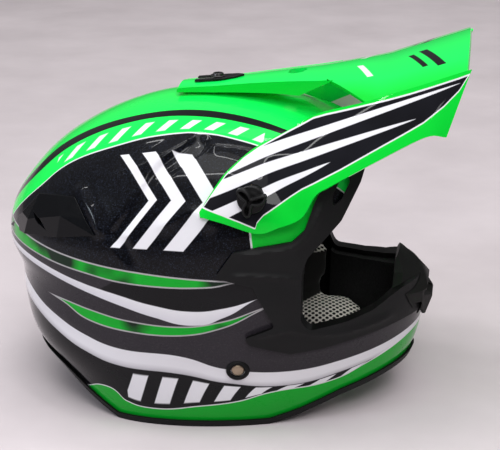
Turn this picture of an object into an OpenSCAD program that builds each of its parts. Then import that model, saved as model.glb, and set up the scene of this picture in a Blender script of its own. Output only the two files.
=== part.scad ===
// Motocross helmet: shell, eye port surround, adjustable peak, liner, cheek pads and chin strap.
// Front is +X, the wearer's left is +Y, up is +Z. The helmet stands on its rim at z = 0.

/* [Shell] */
// Length of the shell from the rear ridge to the chin front
shell_length = 348; // [335:1:362]
// Width of the shell at its widest
shell_width = 250; // [242:1:260]
// Height of the shell from the rim to the crown
shell_height = 252; // [244:1:262]
// Thickness of the shell wall
shell_wall = 4; // [3:0.5:5]
// Height of the rubber edging round the rim
rim_height = 5.5; // [4.5:0.5:12]
// Thickness of the edging on each side of the wall
rim_wall = 2; // [1.5:0.25:3]

/* [Eye port] */
// Thickness of the moulded eye port surround
surround_wall = 3.5; // [2.5:0.25:5]
// Width of the surround's return flange round the opening
port_flange = 4; // [3:0.5:6]
// Depth of that flange behind the shell's face
port_depth = 7; // [5:1:22]
// Width of the nose guard
guard_width = 104; // [84:1:110]
// Width of the mouth vent behind the guard
vent_width = 40; // [30:1:44]
// Number of slots in the mouth vent grille
vent_slots = 7; // [5:1:9]

/* [Peak] */
// Thickness of the peak's sheet
peak_wall = 3; // [2.5:0.25:4]
// Reach of the peak's tip ahead of its pivot
peak_reach = 152; // [140:1:165]
// Width of the tongue on the crown
tongue_width = 40; // [34:1:46]
// Greatest tilt of the peak, down from the stored pose
peak_tilt = 6; // [3:0.5:6]

/* [Knobs and screws] */
// Radius of the side knob's shank
knob_shank_r = 4; // [3:0.25:5]
// Radius of the side knob's body
knob_r = 10.5; // [8:0.25:12]
// Number of wings on a side knob
knob_wings = 3; // [3:1:5]
// Height of the knob's wings above its flange
wing_height = 8; // [6:0.5:10]
// Radius of the crown screw's shank
crown_shank_r = 3; // [2.5:0.25:4]
// Radius of the crown screw's head
crown_head_r = 6.5; // [5.5:0.25:8]

/* [Liner] */
// Thickness of the comfort liner
liner_wall = 9; // [6:0.5:11]
// Thickness of the chin bar foam
chin_foam = 10; // [9:1:16]
// Half of the clear width between the crowns of the cheek pads
cheek_half_gap = 60; // [56:1:68]
// Depth of the strap pocket between shell and cheek pad
strap_pocket = 15; // [13:0.5:17]

/* [Chin strap] */
// Width of the webbing
strap_width = 24; // [20:1:28]
// Thickness of the webbing
strap_wall = 2; // [1.5:0.25:2.5]
// Radius of the strap rivet's shank
rivet_r = 3; // [2.5:0.25:3.5]
// Radius of the rivet's rubber washer
washer_r = 9; // [7:0.25:10]
// Radius of the wire of a D-ring
ring_wire_r = 2; // [1.5:0.25:2.25]

/* [Hidden] */
$fn = 32;
eps = 0.01;
far = 400;

// Clearances: between seated faces, in a running fit, and round a shank in a plain hole
seat_gap = 0.3;
run_gap = 0.05;
hole_gap = 0.3;

// The form was drawn at this size and stretches from it
form_size = [348, 250, 252];
fit = [shell_length / form_size[0], shell_width / form_size[1], shell_height / form_size[2]];

// Stations of the form, rim to crown: height, rear, front, half width, squareness of front and rear,
// and where the widest point lies between rear and front
stations = [
    [-10, -123, 123, 101, 1.85, 2.4, 0.34],
    [12, -133, 137, 109, 1.85, 2.5, 0.36],
    [32, -146, 148, 114, 1.85, 2.5, 0.38],
    [57, -169, 157, 118, 1.85, 2.4, 0.41],
    [84, -178, 159, 121.5, 1.87, 2.25, 0.45],
    [110, -180, 153, 124.5, 1.9, 2.2, 0.47],
    [132, -189, 147, 125, 1.95, 2.15, 0.47],
    [157, -185, 143, 122.5, 2, 2.15, 0.47],
    [182, -169, 138, 116, 2, 2.15, 0.47],
    [207, -145, 127, 102, 2, 2.15, 0.47],
    [228, -112, 105, 81, 2, 2.1, 0.47],
    [243, -76, 69, 53, 2, 2, 0.47],
    [249.5, -45, 33, 27, 2, 2, 0.47],
    [252, -7, -7, 0, 2, 2, 0.47]];
last = len(stations) - 1;
form_cols = 36;
form_sub = 2;

function mix(a, b, t) = a + (b - a) * t;
function mirror_station(s) = [s[0], s[2], s[1], -s[3], s[4], s[5], s[6]];
function station(i) =
    i < 0 ? 2 * stations[0] - stations[1] :
    i > last ? mirror_station(stations[2 * last - i]) : stations[i];
function catmull(a, b, c, d, t) =
    0.5 * (2 * b + (c - a) * t + (2 * a - 5 * b + 4 * c - d) * t * t
        + (3 * b - a - 3 * c + d) * t * t * t);
function section(t) =
    let (i = min(max(floor(t), 0), last))
    catmull(station(i - 1), station(i), station(i + 1), station(i + 2), t - i);
function power(v, n) = sign(v) * pow(abs(v), 2 / n);

// A point of the form at turn u, 0 at the front, and at station t
function form_point(u, t) =
    let (s = section(t), middle = mix(s[1], s[2], s[6]),
        reach = cos(u) < 0 ? middle - s[1] : s[2] - middle,
        n = cos(u) < 0 ? s[5] : s[4])
    [fit[0] * (middle + reach * power(cos(u), n)), fit[1] * s[3] * power(sin(u), n), fit[2] * s[0]];
function unit(v) = v / norm(v);
step_u = 1.5;
step_t = 0.02;
function form_normal(u, t) =
    unit(cross(form_point(u + step_u, t) - form_point(u - step_u, t),
        form_point(u, t + step_t) - form_point(u, t - step_t)));
function offset_point(u, t, out) = form_point(u, t) + out * form_normal(u, t);

// Station where the form reaches height z, and the form's half width at x and z
function station_at(z, lo = 0, hi = last) =
    hi - lo < 0.001 ? lo :
    let (mid = (lo + hi) / 2)
    fit[2] * section(mid)[0] < z ? station_at(z, mid, hi) : station_at(z, lo, mid);
function side_y(x, z) =
    let (s = section(station_at(z)), middle = mix(s[1], s[2], s[6]),
        along = x / fit[0] - middle, reach = along < 0 ? middle - s[1] : s[2] - middle,
        n = along < 0 ? s[5] : s[4])
    fit[1] * s[3] * pow(max(0, 1 - pow(min(1, abs(along) / reach), n)), 1 / n);

// Places on the form, in the side view
function place(p) = [p[0] * fit[0], p[1] * fit[2]];
function places(list) = [for (p = list) place(p)];
knob_at = place([35, 197.5]);
rivet_at = place([23, 55]);
crown_at = place([-13, 252]);

// Freeform solids

// Closed form, moved out along its normals
module form(out) {
    rows = last * form_sub;
    rings = [for (k = [0 : rows - 1]) for (j = [0 : form_cols - 1])
        offset_point(360 * j / form_cols, k / form_sub, out)];
    crown = [fit[0] * stations[last][1], 0, fit[2] * stations[last][0] + out];
    base = [0, 0, rings[0][2]];
    n = len(rings);
    function at(k, j) = k * form_cols + (j % form_cols);
    polyhedron(concat(rings, [crown, base]), concat(
        [for (k = [0 : rows - 2]) for (j = [0 : form_cols - 1]) [at(k, j), at(k + 1, j), at(k + 1, j + 1)]],
        [for (k = [0 : rows - 2]) for (j = [0 : form_cols - 1]) [at(k, j), at(k + 1, j + 1), at(k, j + 1)]],
        [for (j = [0 : form_cols - 1]) [at(rows - 1, j), n, at(rows - 1, j + 1)]],
        [for (j = [0 : form_cols - 1]) [at(0, j + 1), n + 1, at(0, j)]]));
}
module skin(outer, inner) {
    difference() {
        form(outer);
        form(inner);
    }
}
// A freeform piece is kept as one mesh
module freeform() {
    resize([0, 0, 0]) children();
}
// A side view outline, carried right across the helmet or from one y to another
module across(outline = [], low = -far, high = far) {
    translate([0, high, 0]) rotate([90, 0, 0]) linear_extrude(high - low) {
        if (len(outline) > 0) polygon(outline);
        children();
    }
}
// A round bar along Y between two y values
module bar_y(x, z, r, y0, y1) {
    translate([x, min(y0, y1), z]) rotate([-90, 0, 0]) cylinder(r = r, h = abs(y1 - y0));
}
module both_sides() {
    children();
    mirror([0, 1, 0]) children();
}

// Side view outlines

rim_line = places([[-235, 60], [-130, 36], [-103, 17], [-77, 0], [45, 0], [69, 8], [99, 21], [133, 30],
    [225, 50]]);
function above(line, up) =
    concat([for (p = line) p + [0, up]], [[line[len(line) - 1][0], far], [line[0][0], far]]);
port_outline = places([[71, 98], [71, 136], [75, 148], [98, 173], [110, 198], [115, 218], [275, 218],
    [275, 106], [144, 107], [136, 104], [123, 97], [104, 92], [86, 90], [76, 89]]);
port_round = 5;
surround_outline = places([[8, 136], [21, 155], [37, 158], [63, 161], [72, 169], [78, 188], [90, 214],
    [101, 232], [275, 234], [275, 88], [147, 81], [120, 77], [86, 71], [63, 69], [33, 79], [29, 85],
    [52, 94], [36, 128]]);
surround_round = 2;
rear_vent_outline = places([[-179, 143], [-143, 179], [-106, 185], [-85, 161], [-155, 147]]);
rear_hole_outline = places([[-145, 158], [-133, 172], [-115, 174], [-105, 164]]);
guard_outline = places([[136, 119], [139, 126], [154, 117], [161, 105], [164, 98.5], [159, 94], [168, 88.5],
    [161, 72], [132, 72], [136, 96]]);
guard_front = [[-30, 60], [-52, 90], [-52, 100], [-27, 112], [-10, 127], [10, 127], [27, 112], [52, 100],
    [52, 90], [30, 60]];
foam_outline = places([[-235, 88], [-175, 75], [-130, 64], [-103, 48], [-65, 36], [-13, 36], [-13, 82],
    [61, 108], [71, 124], [225, 124], [225, 272], [-235, 272]]);
liner_outline = places([[-235, 96], [-130, 80], [-65, 52], [-17, 50], [-17, 92], [55, 114], [61, 124],
    [225, 124], [225, 272], [-235, 272]]);
pad_outline = places([[-7, 34], [75, 34], [75, 110], [67, 110], [57, 100], [-7, 76]]);
chin_outline = places([[73, 23], [105, 38], [145, 48], [225, 68], [225, 132], [73, 132]]);
neck_outline = places([[-21, 11.5], [-77, 11.5], [-103, 28.5], [-130, 47.5], [-175, 58], [-175, 74.6],
    [-130, 63.6], [-103, 47.6], [-65, 35.7], [-21, 35.7]]);
mouth_low = 74 * fit[2];
mouth_high = 96 * fit[2];

corner_fn = 16;
module rounded(outline, r) {
    offset(r = r, $fn = corner_fn) offset(r = -2 * r, $fn = corner_fn) offset(r = r, $fn = corner_fn)
        polygon(outline);
}
module port(out) {
    offset(r = out, $fn = corner_fn) rounded(port_outline, port_round);
}
module mouth_opening(clear) {
    translate([shell_length / 4, -vent_width / 2 + clear, mouth_low + clear])
        cube([far, vent_width - 2 * clear, mouth_high - mouth_low - 2 * clear]);
}

// Inner volume for the head: a dome over a straight neck
cavity_at = [-35 * fit[0], 0, 130 * fit[2]];
cavity_size = [116 * fit[0], 82 * fit[1], 82 * fit[2]];
cavity_fn = 28;
module cavity(out) {
    grown = cavity_size + [out, out, out];
    translate(cavity_at) {
        scale(grown) sphere(1, $fn = cavity_fn);
        translate([0, 0, -far]) scale([grown[0], grown[1], 1]) cylinder(r = 1, h = far, $fn = cavity_fn);
    }
}

// Shell, surround and vents

side_insert_r = knob_shank_r + 2;
side_flange_r = knob_shank_r + 3.5;
crown_insert_r = crown_shank_r + 2.5;
// The insert's flange clears the sloping shell below the knob
flange_y = side_y(knob_at[0] - side_flange_r / 2, knob_at[1] - side_flange_r) + seat_gap;
flange_wall = 3;
insert_depth = 15;
rivet_shoulder_r = rivet_r + 2;
rim_floor = 3;

module insert_holes(clear) {
    both_sides() bar_y(knob_at[0], knob_at[1], side_insert_r + clear, flange_y - insert_depth - clear, far);
    translate([crown_at[0], 0, crown_at[1] - insert_depth - clear])
        cylinder(r = crown_insert_r + clear, h = far);
}
module outer_shell() color("darkgreen") freeform() difference() {
    intersection() {
        skin(0, -shell_wall);
        across(above(rim_line, rim_floor));
    }
    across() port(port_flange + seat_gap);
    mouth_opening(0);
    insert_holes(hole_gap);
    both_sides() bar_y(rivet_at[0], rivet_at[1], rivet_r + hole_gap, 0, far);
    both_sides() across(rear_hole_outline, 0, far);
}
module rim_trim() color("black") freeform() difference() {
    intersection() {
        skin(rim_wall + seat_gap, -shell_wall - seat_gap - rim_wall);
        across(above(rim_line, 0));
    }
    across(above(rim_line, rim_height));
    intersection() {
        skin(seat_gap, -shell_wall - seat_gap);
        across(above(rim_line, rim_floor));
    }
}
module eye_port_surround() color("black") freeform() difference() {
    union() {
        intersection() {
            skin(seat_gap + surround_wall, seat_gap);
            across() rounded(surround_outline, surround_round);
        }
        intersection() {
            skin(seat_gap + surround_wall, -port_depth);
            across() port(port_flange);
        }
    }
    across() port(0);
    mouth_opening(0);
}
guard_nose = 14;
guard_cheek = guard_width * 0.38;
// The guard's top is a ridge that falls to the front and to both sides
guard_ridge = place([139, 126]);
guard_fall = atan2(21 * fit[2], 24 * fit[0]);
guard_roof = [[0, 2.5], [52, -17], [52, -90], [-52, -90], [-52, -17]];
module nose_guard() color("black") freeform() difference() {
    intersection() {
        across(guard_outline, -guard_width / 2, guard_width / 2);
        rotate([90, 0, 90]) linear_extrude(far)
            polygon([for (p = guard_front) [p[0] * guard_width / 104, p[1] * fit[2]]]);
        linear_extrude(far) polygon([[0, -guard_width / 2], [138 * fit[0], -guard_width / 2],
            [154 * fit[0], -guard_cheek], [175 * fit[0], -guard_nose], [175 * fit[0], guard_nose],
            [154 * fit[0], guard_cheek], [138 * fit[0], guard_width / 2], [0, guard_width / 2]]);
        translate([guard_ridge[0], 0, guard_ridge[1]]) rotate([0, guard_fall, 0])
            rotate([90, 0, 90]) linear_extrude(far, center = true) polygon(guard_roof);
    }
    difference() {
        form(surround_wall + 2 * seat_gap);
        across() port(-seat_gap);
    }
    for (i = [0 : 2]) translate([shell_length / 4, -vent_width / 2 + 6, mouth_low + 1 + 7 * i])
        cube([far, vent_width - 12, 3.5]);
}
slot_pitch = (vent_width - 2 * seat_gap) / (vent_slots + 0.5);
module mouth_vent_grille() color("dimgray") freeform() difference() {
    intersection() {
        skin(-shell_wall / 8, -shell_wall * 7 / 8);
        mouth_opening(seat_gap);
    }
    for (i = [0 : vent_slots - 1])
        translate([shell_length / 4, -vent_width / 2 + seat_gap + slot_pitch * (i + 0.5), mouth_low + 3])
            cube([far, slot_pitch / 2, mouth_high - mouth_low - 6]);
}
rear_cover_wall = 2;
rear_cover_gap = 12;
module rear_cover() freeform() difference() {
    intersection() {
        skin(seat_gap + rear_cover_wall, seat_gap);
        across(rear_vent_outline, -far, -rear_cover_gap);
    }
    for (i = [0 : 2]) across(places([[-137 + 10 * i, 162], [-132 + 10 * i, 171], [-127 + 10 * i, 171],
        [-132 + 10 * i, 162]]));
}
module rear_vent_right() color("black") rear_cover();
module rear_vent_left() color("black") mirror([0, 1, 0]) rear_cover();

// Foam and padding

module crown_foam() color("gray") freeform() difference() {
    intersection() {
        form(-shell_wall - seat_gap);
        across(foam_outline);
    }
    cavity(liner_wall + seat_gap);
    across() port(port_flange + seat_gap);
    insert_holes(1);
}
module chin_foam_block() color("gray") freeform() difference() {
    intersection() {
        skin(-shell_wall - seat_gap, -shell_wall - seat_gap - chin_foam);
        across(chin_outline);
    }
    across() port(port_flange + seat_gap);
    mouth_opening(0);
}
module comfort_liner() color("dimgray") freeform() difference() {
    intersection() {
        cavity(liner_wall);
        across(liner_outline);
    }
    cavity(0);
    across() port(port_flange + seat_gap);
    insert_holes(1);
}
pad_round = 6;
// The pad is crowned towards the face, and its sides draw in to the corners
pad_middle = place([33, 70]);
pad_crown = [58 * fit[0], 35, 50 * fit[2]];
pad_back = shell_wall + strap_pocket + 2;
// Its toe reaches forward along the jaw, inside the chin foam
toe_middle = place([84, 34]);
toe_crown = [42 * fit[0], 21, 19 * fit[2]];
toe_outline = places([[41, 20], [73, 20], [105, 34], [125, 40], [125, 70], [41, 70]]);
pad_fn = 28;
module cheek_pad() freeform() {
    intersection() {
        form(-pad_back);
        across([], -far, 0) rounded(pad_outline, pad_round);
        translate([pad_middle[0], -cheek_half_gap - pad_crown[1], pad_middle[1]])
            scale(pad_crown) sphere(1, $fn = pad_fn);
    }
    intersection() {
        form(-shell_wall - chin_foam - 2 * seat_gap);
        across(toe_outline);
        translate([toe_middle[0], -cheek_half_gap, toe_middle[1]]) scale(toe_crown) sphere(1, $fn = pad_fn);
    }
}
module cheek_pad_right() color("whitesmoke") cheek_pad();
module cheek_pad_left() color("whitesmoke") mirror([0, 1, 0]) cheek_pad();
neck_wall = 20;
module neck_roll() color("dimgray") freeform() intersection() {
    skin(-shell_wall - seat_gap, -shell_wall - rim_wall - neck_wall);
    across(neck_outline);
}
snap_r = 5;
// The pad slopes away behind a snap by this much
snap_seat = 0.7;
snaps = places([[53, 88], [53, 50], [1, 64]]);
function lower_y(p, r) = min(side_y(p[0] + r, p[1] - r), side_y(p[0] + r, p[1]));
module cheek_pad_snaps() color("black") both_sides() for (p = snaps)
    bar_y(p[0], p[1], snap_r, side_y(p[0] - snap_r, p[1] + snap_r) - pad_back - snap_seat,
        lower_y(p, snap_r) - shell_wall - seat_gap);

// Peak

// Lines of the peak, rear to tip: centre as x and z, ridge as x, half breadth and z
centre_line = [[-49, 256.5], [-13, 260], [49, 269], [71, 272], [121, 281.5], [155, 293.5], [187, 304.3]];
ridge_line = [[-49, 60, 224], [-13, 66, 231], [36, 78, 241], [80, 80, 255], [116, 83, 266], [155, 84.5, 280],
    [187, 85, 292]];
arm_low = [[-3, 122, 182.5], [15, 121.5, 178], [39, 119.5, 171], [55, 118, 176], [71.5, 115, 183.7],
    [81, 113, 200.5], [92, 111, 208], [125, 105, 227], [158, 101, 245], [173, 98, 245]];
arm_high = [[-4, 120, 185.5], [4.5, 114, 200], [13, 107, 212.5], [23.5, 97, 222], [34, 89, 229.5],
    [56, 82.5, 241], [79, 80, 254.5], [116, 83, 266], [159, 84.6, 281.5], [188, 85, 292.3]];
arm_bulge = [0, 2, 4, 5, 4, 4, 3, 2, 1, 0];
tongue_rear = -43;
tongue_front = 79;
tongue_flare = 1.8;
// The plate starts behind the ridge's start, so that a vent stays open on each side of the tongue
plate_start = [55, 113];
plate_tip = [186, 185];
peak_pivot_x = 35;
peak_nominal_reach = 152;

function along(line, x, i = 0) =
    i >= len(line) - 2 || x < line[i + 1][0] ?
        let (f = (x - line[i][0]) / (line[i + 1][0] - line[i][0])) line[i] + f * (line[i + 1] - line[i]) :
        along(line, x, i + 1);
// Stretches a point of the peak to the reach and to the shell
function peak_place(p) =
    let (ahead = max(0, p[0] - peak_pivot_x), x = p[0] + ahead * (peak_reach / peak_nominal_reach - 1))
    [x * fit[0], p[1] * fit[1], p[2] * fit[2]];
function crown_z(x, y) =
    let (c = along(centre_line, x), r = along(ridge_line, x), f = y / r[1])
    c[1] - (c[1] - r[2]) * f * f;
function tongue_half(x) =
    let (f = max(0, (x - tongue_rear) / (tongue_front - tongue_rear)))
    tongue_width / 2 * (0.85 + (tongue_flare - 0.85) * f * f);

plate_rows = 6;
plate_cols = 14;
tongue_rows = 8;
tongue_cols = 6;
arm_cols = 6;
plate_grid = [for (i = [0 : plate_rows]) [for (j = [0 : plate_cols])
    let (v = 2 * j / plate_cols - 1, x = mix(mix(plate_start[0], plate_start[1], abs(v)),
        mix(plate_tip[0], plate_tip[1], v * v), i / plate_rows), y = v * along(ridge_line, x)[1])
    peak_place([x, y, crown_z(x, y)])]];
tongue_grid = [for (i = [0 : tongue_rows]) [for (j = [0 : tongue_cols])
    let (x = mix(tongue_rear, tongue_front, i / tongue_rows), y = tongue_half(x) * (2 * j / tongue_cols - 1))
    peak_place([x, y, crown_z(x, y)])]];
arm_grid = [for (i = [0 : len(arm_low) - 1]) [for (j = [0 : arm_cols])
    let (f = j / arm_cols, p = mix(arm_low[i], arm_high[i], f), y = p[1] + 4 * arm_bulge[i] * f * (1 - f))
    peak_place([p[0], -y, p[2]])]];

// Sheet through a grid of points, thickened down along its normals
module sheet(grid, wall) {
    rows = len(grid) - 1;
    cols = len(grid[0]) - 1;
    function side(i, j) = unit(cross(grid[min(i + 1, rows)][j] - grid[max(i - 1, 0)][j],
        grid[i][min(j + 1, cols)] - grid[i][max(j - 1, 0)]));
    function at(i, j) = i * (cols + 1) + j;
    low = (rows + 1) * (cols + 1);
    top_points = [for (i = [0 : rows]) for (j = [0 : cols]) grid[i][j]];
    low_points = [for (i = [0 : rows]) for (j = [0 : cols]) grid[i][j] - wall * side(i, j)];
    edge = concat([for (j = [0 : cols]) at(0, j)], [for (i = [1 : rows]) at(i, cols)],
        [for (j = [cols - 1 : -1 : 0]) at(rows, j)], [for (i = [rows - 1 : -1 : 1]) at(i, 0)]);
    count = len(edge);
    polyhedron(concat(top_points, low_points), concat(
        [for (i = [0 : rows - 1]) for (j = [0 : cols - 1]) [at(i, j), at(i + 1, j + 1), at(i + 1, j)]],
        [for (i = [0 : rows - 1]) for (j = [0 : cols - 1]) [at(i, j), at(i, j + 1), at(i + 1, j + 1)]],
        [for (i = [0 : rows - 1]) for (j = [0 : cols - 1])
            [low + at(i, j), low + at(i + 1, j), low + at(i + 1, j + 1)]],
        [for (i = [0 : rows - 1]) for (j = [0 : cols - 1])
            [low + at(i, j), low + at(i + 1, j + 1), low + at(i, j + 1)]],
        [for (k = [0 : count - 1]) [edge[k], low + edge[k], edge[(k + 1) % count]]],
        [for (k = [0 : count - 1]) [edge[(k + 1) % count], low + edge[k], low + edge[(k + 1) % count]]]));
}
bushing_r = knob_shank_r + 4;
bushing_y = flange_y + flange_wall + seat_gap;
bushing_wall = 8;
tongue_wall = 4;
// The slot is as long as the peak's slide on the crown screw
crown_top = crown_z(-13, 0) * fit[2];
slot_slide = (crown_top - knob_at[1]) * sin(peak_tilt) + 1;
slot_half = crown_shank_r + 1;
module slot_shape(grow) {
    for (x = [-slot_slide, 0]) translate([x, 0]) circle(slot_half + grow);
    translate([-slot_slide, -slot_half - grow]) square([slot_slide, 2 * (slot_half + grow)]);
}
module peak() color("green") freeform() difference() {
    union() {
        sheet(plate_grid, peak_wall);
        sheet(tongue_grid, tongue_wall);
        both_sides() sheet(arm_grid, peak_wall);
    }
    both_sides() bar_y(knob_at[0], knob_at[1], bushing_r + hole_gap, 0, far);
    translate([crown_at[0], 0, 0]) linear_extrude(far) slot_shape(1);
}
module peak_bushings() color("black") both_sides() difference() {
    bar_y(knob_at[0], knob_at[1], bushing_r, bushing_y, bushing_y + bushing_wall);
    bar_y(knob_at[0], knob_at[1], knob_shank_r + run_gap, bushing_y - 1, bushing_y + bushing_wall + 1);
}
// Forked frame round the slot, open to the rear, with room for the screw's head
plate_slope = atan2(3.5 * fit[2], 36 * fit[0]);
rail_wall = 3;
rail_height = 3;
rail_gap = 1;
module rail_shape(r) {
    for (x = [-slot_slide, 0]) translate([x, 0]) circle(r);
    translate([-slot_slide, -r]) square([slot_slide, 2 * r]);
}
plate_half = crown_head_r + rail_gap + rail_wall;
fork_half = crown_shank_r + rail_gap;
module peak_slot_plate() color("black") translate([crown_at[0], 0, crown_top + 2 * seat_gap])
    rotate([0, -plate_slope, 0]) linear_extrude(rail_height) difference() {
        translate([-slot_slide - plate_half, -plate_half])
            square([slot_slide + 2 * plate_half, 2 * plate_half]);
        rail_shape(crown_head_r + rail_gap);
        translate([-far, -fork_half]) square([far, 2 * fork_half]);
    }

// Knobs, inserts and screws

module side_inserts() color("goldenrod") both_sides() difference() {
    union() {
        bar_y(knob_at[0], knob_at[1], side_flange_r, flange_y, flange_y + flange_wall);
        bar_y(knob_at[0], knob_at[1], side_insert_r, flange_y - insert_depth, flange_y + eps);
    }
    bar_y(knob_at[0], knob_at[1], knob_shank_r + run_gap, 0, far);
}
module crown_insert() color("goldenrod") translate([crown_at[0], 0, crown_at[1] - insert_depth])
    difference() {
        cylinder(r = crown_insert_r, h = insert_depth + seat_gap);
        translate([0, 0, 2]) cylinder(r = crown_shank_r + run_gap, h = insert_depth);
    }
washer_wall = 1.2;
knob_base_y = bushing_y + bushing_wall + washer_wall + 2 * seat_gap;
knob_flange_wall = 2.5;
wing_reach = knob_r * 1.2;
wing_wall = 3.5;
wing_turn = 5;
module knob_washers() color("gray") both_sides() difference() {
    bar_y(knob_at[0], knob_at[1], bushing_r + 1, bushing_y + bushing_wall + seat_gap,
        bushing_y + bushing_wall + seat_gap + washer_wall);
    bar_y(knob_at[0], knob_at[1], knob_shank_r + hole_gap, bushing_y, far);
}
module knob() {
    bar_y(knob_at[0], knob_at[1], knob_shank_r, flange_y - insert_depth + 2, knob_base_y + eps);
    bar_y(knob_at[0], knob_at[1], knob_r, knob_base_y, knob_base_y + knob_flange_wall);
    bar_y(knob_at[0], knob_at[1], knob_r * 0.45, knob_base_y, knob_base_y + knob_flange_wall + wing_height);
    translate([knob_at[0], knob_base_y + knob_flange_wall - eps, knob_at[1]]) rotate([-90, 0, 0])
        for (i = [0 : knob_wings - 1]) rotate(360 * i / knob_wings - wing_turn)
            translate([0, -wing_wall / 2, 0]) cube([wing_reach, wing_wall, wing_height]);
}
module peak_knob_left() color("black") knob();
module peak_knob_right() color("black") mirror([0, 1, 0]) knob();
crown_head_z = crown_top + crown_head_r * tan(plate_slope) + 2 * seat_gap;
crown_head_wall = 3.5;
module crown_screw() color("silver") translate([crown_at[0], 0, 0]) difference() {
    union() {
        translate([0, 0, crown_at[1] - insert_depth + 4])
            cylinder(r = crown_shank_r, h = crown_head_z - crown_at[1] + insert_depth);
        translate([0, 0, crown_head_z]) cylinder(r = crown_head_r, h = crown_head_wall);
    }
    translate([-crown_head_r, -0.8, crown_head_z + crown_head_wall - 1.5]) cube([2 * crown_head_r, 1.6, 2]);
}

// Chin strap

rivet_head_r = washer_r * 0.55;
shell_in_y = lower_y(rivet_at, rivet_shoulder_r) - shell_wall - seat_gap;
anchor_wall = 2;
anchor_half = strap_width / 2 + 1.5;
anchor_low = 14;
anchor_high = 10;
// The anchor plate hangs clear of the shell's inward slope
anchor_y = side_y(rivet_at[0] + anchor_half, rivet_at[1] - anchor_low) - shell_wall - anchor_wall - 1;
rivet_head_y = side_y(rivet_at[0] - rivet_head_r, rivet_at[1] + rivet_head_r) + seat_gap;
module strap_rivets() color("silver") both_sides() {
    bar_y(rivet_at[0], rivet_at[1], rivet_r, anchor_y - 2, rivet_head_y + eps);
    bar_y(rivet_at[0], rivet_at[1], rivet_head_r, rivet_head_y, rivet_head_y + 1.6);
    bar_y(rivet_at[0], rivet_at[1], rivet_shoulder_r, anchor_y + anchor_wall + seat_gap,
        shell_in_y - seat_gap);
    bar_y(rivet_at[0], rivet_at[1], rivet_shoulder_r, anchor_y - 2, anchor_y - seat_gap);
}
module rivet_washers() color("black") both_sides() freeform() difference() {
    intersection() {
        skin(seat_gap + 1.6, seat_gap);
        bar_y(rivet_at[0], rivet_at[1], washer_r, 0, far, $fn = 24);
    }
    bar_y(rivet_at[0], rivet_at[1], rivet_head_r + hole_gap, 0, far, $fn = 24);
}
module anchor() difference() {
    translate([rivet_at[0] - anchor_half, anchor_y, rivet_at[1] - anchor_low])
        cube([2 * anchor_half, anchor_wall, anchor_low + anchor_high]);
    bar_y(rivet_at[0], rivet_at[1], rivet_r + run_gap, 0, far);
}
module strap_anchor_left() color("silver") anchor();
module strap_anchor_right() color("silver") mirror([0, 1, 0]) anchor();

// Path of the webbing in the view along X: distance from the middle, and height
strap_top = [anchor_y - strap_wall / 2 - 0.2, rivet_at[1] - rivet_shoulder_r - 1.5];
ring_low_z = ring_wire_r + strap_wall + 0.9;
ring_pitch = 2 * ring_wire_r + 0.6;
ring_y = 60;
ring_mid_z = ring_low_z + ring_pitch / 2;
function path_point(list, t) =
    let (n = len(list) - 1, i = min(floor(t), n - 1))
    catmull(list[max(i - 1, 0)], list[i], list[i + 1], list[min(i + 2, n)], t - i);
path_sub = 4;
function smooth(list) = [for (k = [0 : (len(list) - 1) * path_sub]) path_point(list, k / path_sub)];
function path_side(p, i) =
    let (d = unit(p[min(i + 1, len(p) - 1)] - p[max(i - 1, 0)])) [-d[1], d[0]];
module ribbon(list, wall) {
    p = smooth(list);
    n = len(p) - 1;
    polygon(concat([for (i = [0 : n]) p[i] + path_side(p, i) * wall / 2],
        [for (i = [n : -1 : 0]) p[i] - path_side(p, i) * wall / 2]));
}
// Webbing: a strip of the path, as wide as the strap
module webbing(width = strap_width) {
    translate([rivet_at[0] - width / 2, 0, 0]) rotate([90, 0, 90]) linear_extrude(width) children();
}
fold = 7;
hang_path = [strap_top, strap_top - [0, 4], strap_top - [1.2, 16], strap_top - [4.7, 28],
    strap_top - [12, 39]];
free_path = concat(hang_path, [[70, 4.4], [50, 4], [42, 4 + fold / 2], [50, 4 + fold], [54, 4 + fold],
    [66, 4 + fold]]);
ring_path = concat(hang_path, [[72, ring_mid_z], [ring_y + ring_wire_r + strap_wall / 2, ring_mid_z]]);
module loop(r) {
    for (z = [ring_low_z, ring_low_z + ring_pitch]) translate([ring_y, z]) circle(r);
    translate([ring_y - r, ring_low_z]) square([2 * r, ring_pitch]);
}
module chin_strap_right() color("black") mirror([0, 1, 0]) webbing() ribbon(free_path, strap_wall);
module chin_strap_left() color("black") difference() {
    union() {
        webbing() ribbon(ring_path, strap_wall);
        webbing() loop(ring_wire_r + run_gap + strap_wall);
    }
    webbing(strap_width + 2) loop(ring_wire_r + run_gap);
}
module strap_snap() color("silver") translate([rivet_at[0], -60, 4 + fold + strap_wall / 2 + 0.1])
    cylinder(r = 5, h = 2);
ring_half = strap_width / 2 + ring_wire_r + 1.5;
module d_ring(z) translate([rivet_at[0], ring_y, z]) {
    translate([-ring_half, 0, 0]) rotate([0, 90, 0]) cylinder(r = ring_wire_r, h = 2 * ring_half);
    rotate(180) rotate_extrude(angle = 180) translate([ring_half, 0]) circle(ring_wire_r);
    for (x = [-ring_half, ring_half]) translate([x, 0, 0]) sphere(ring_wire_r);
}
module d_ring_upper() color("silver") d_ring(ring_low_z + ring_pitch);
module d_ring_lower() color("silver") d_ring(ring_low_z);

outer_shell();
rim_trim();
eye_port_surround();
nose_guard();
mouth_vent_grille();
crown_foam();
chin_foam_block();
comfort_liner();
cheek_pad_right();
cheek_pad_left();
neck_roll();
cheek_pad_snaps();
rear_vent_right();
rear_vent_left();
side_inserts();
crown_insert();
peak();
peak_bushings();
peak_slot_plate();
peak_knob_right();
peak_knob_left();
knob_washers();
crown_screw();
strap_rivets();
rivet_washers();
strap_anchor_right();
strap_anchor_left();
chin_strap_right();
chin_strap_left();
strap_snap();
d_ring_upper();
d_ring_lower();
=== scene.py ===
import math
import bpy
import bmesh
import numpy as np
from mathutils import Matrix, Vector


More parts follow.
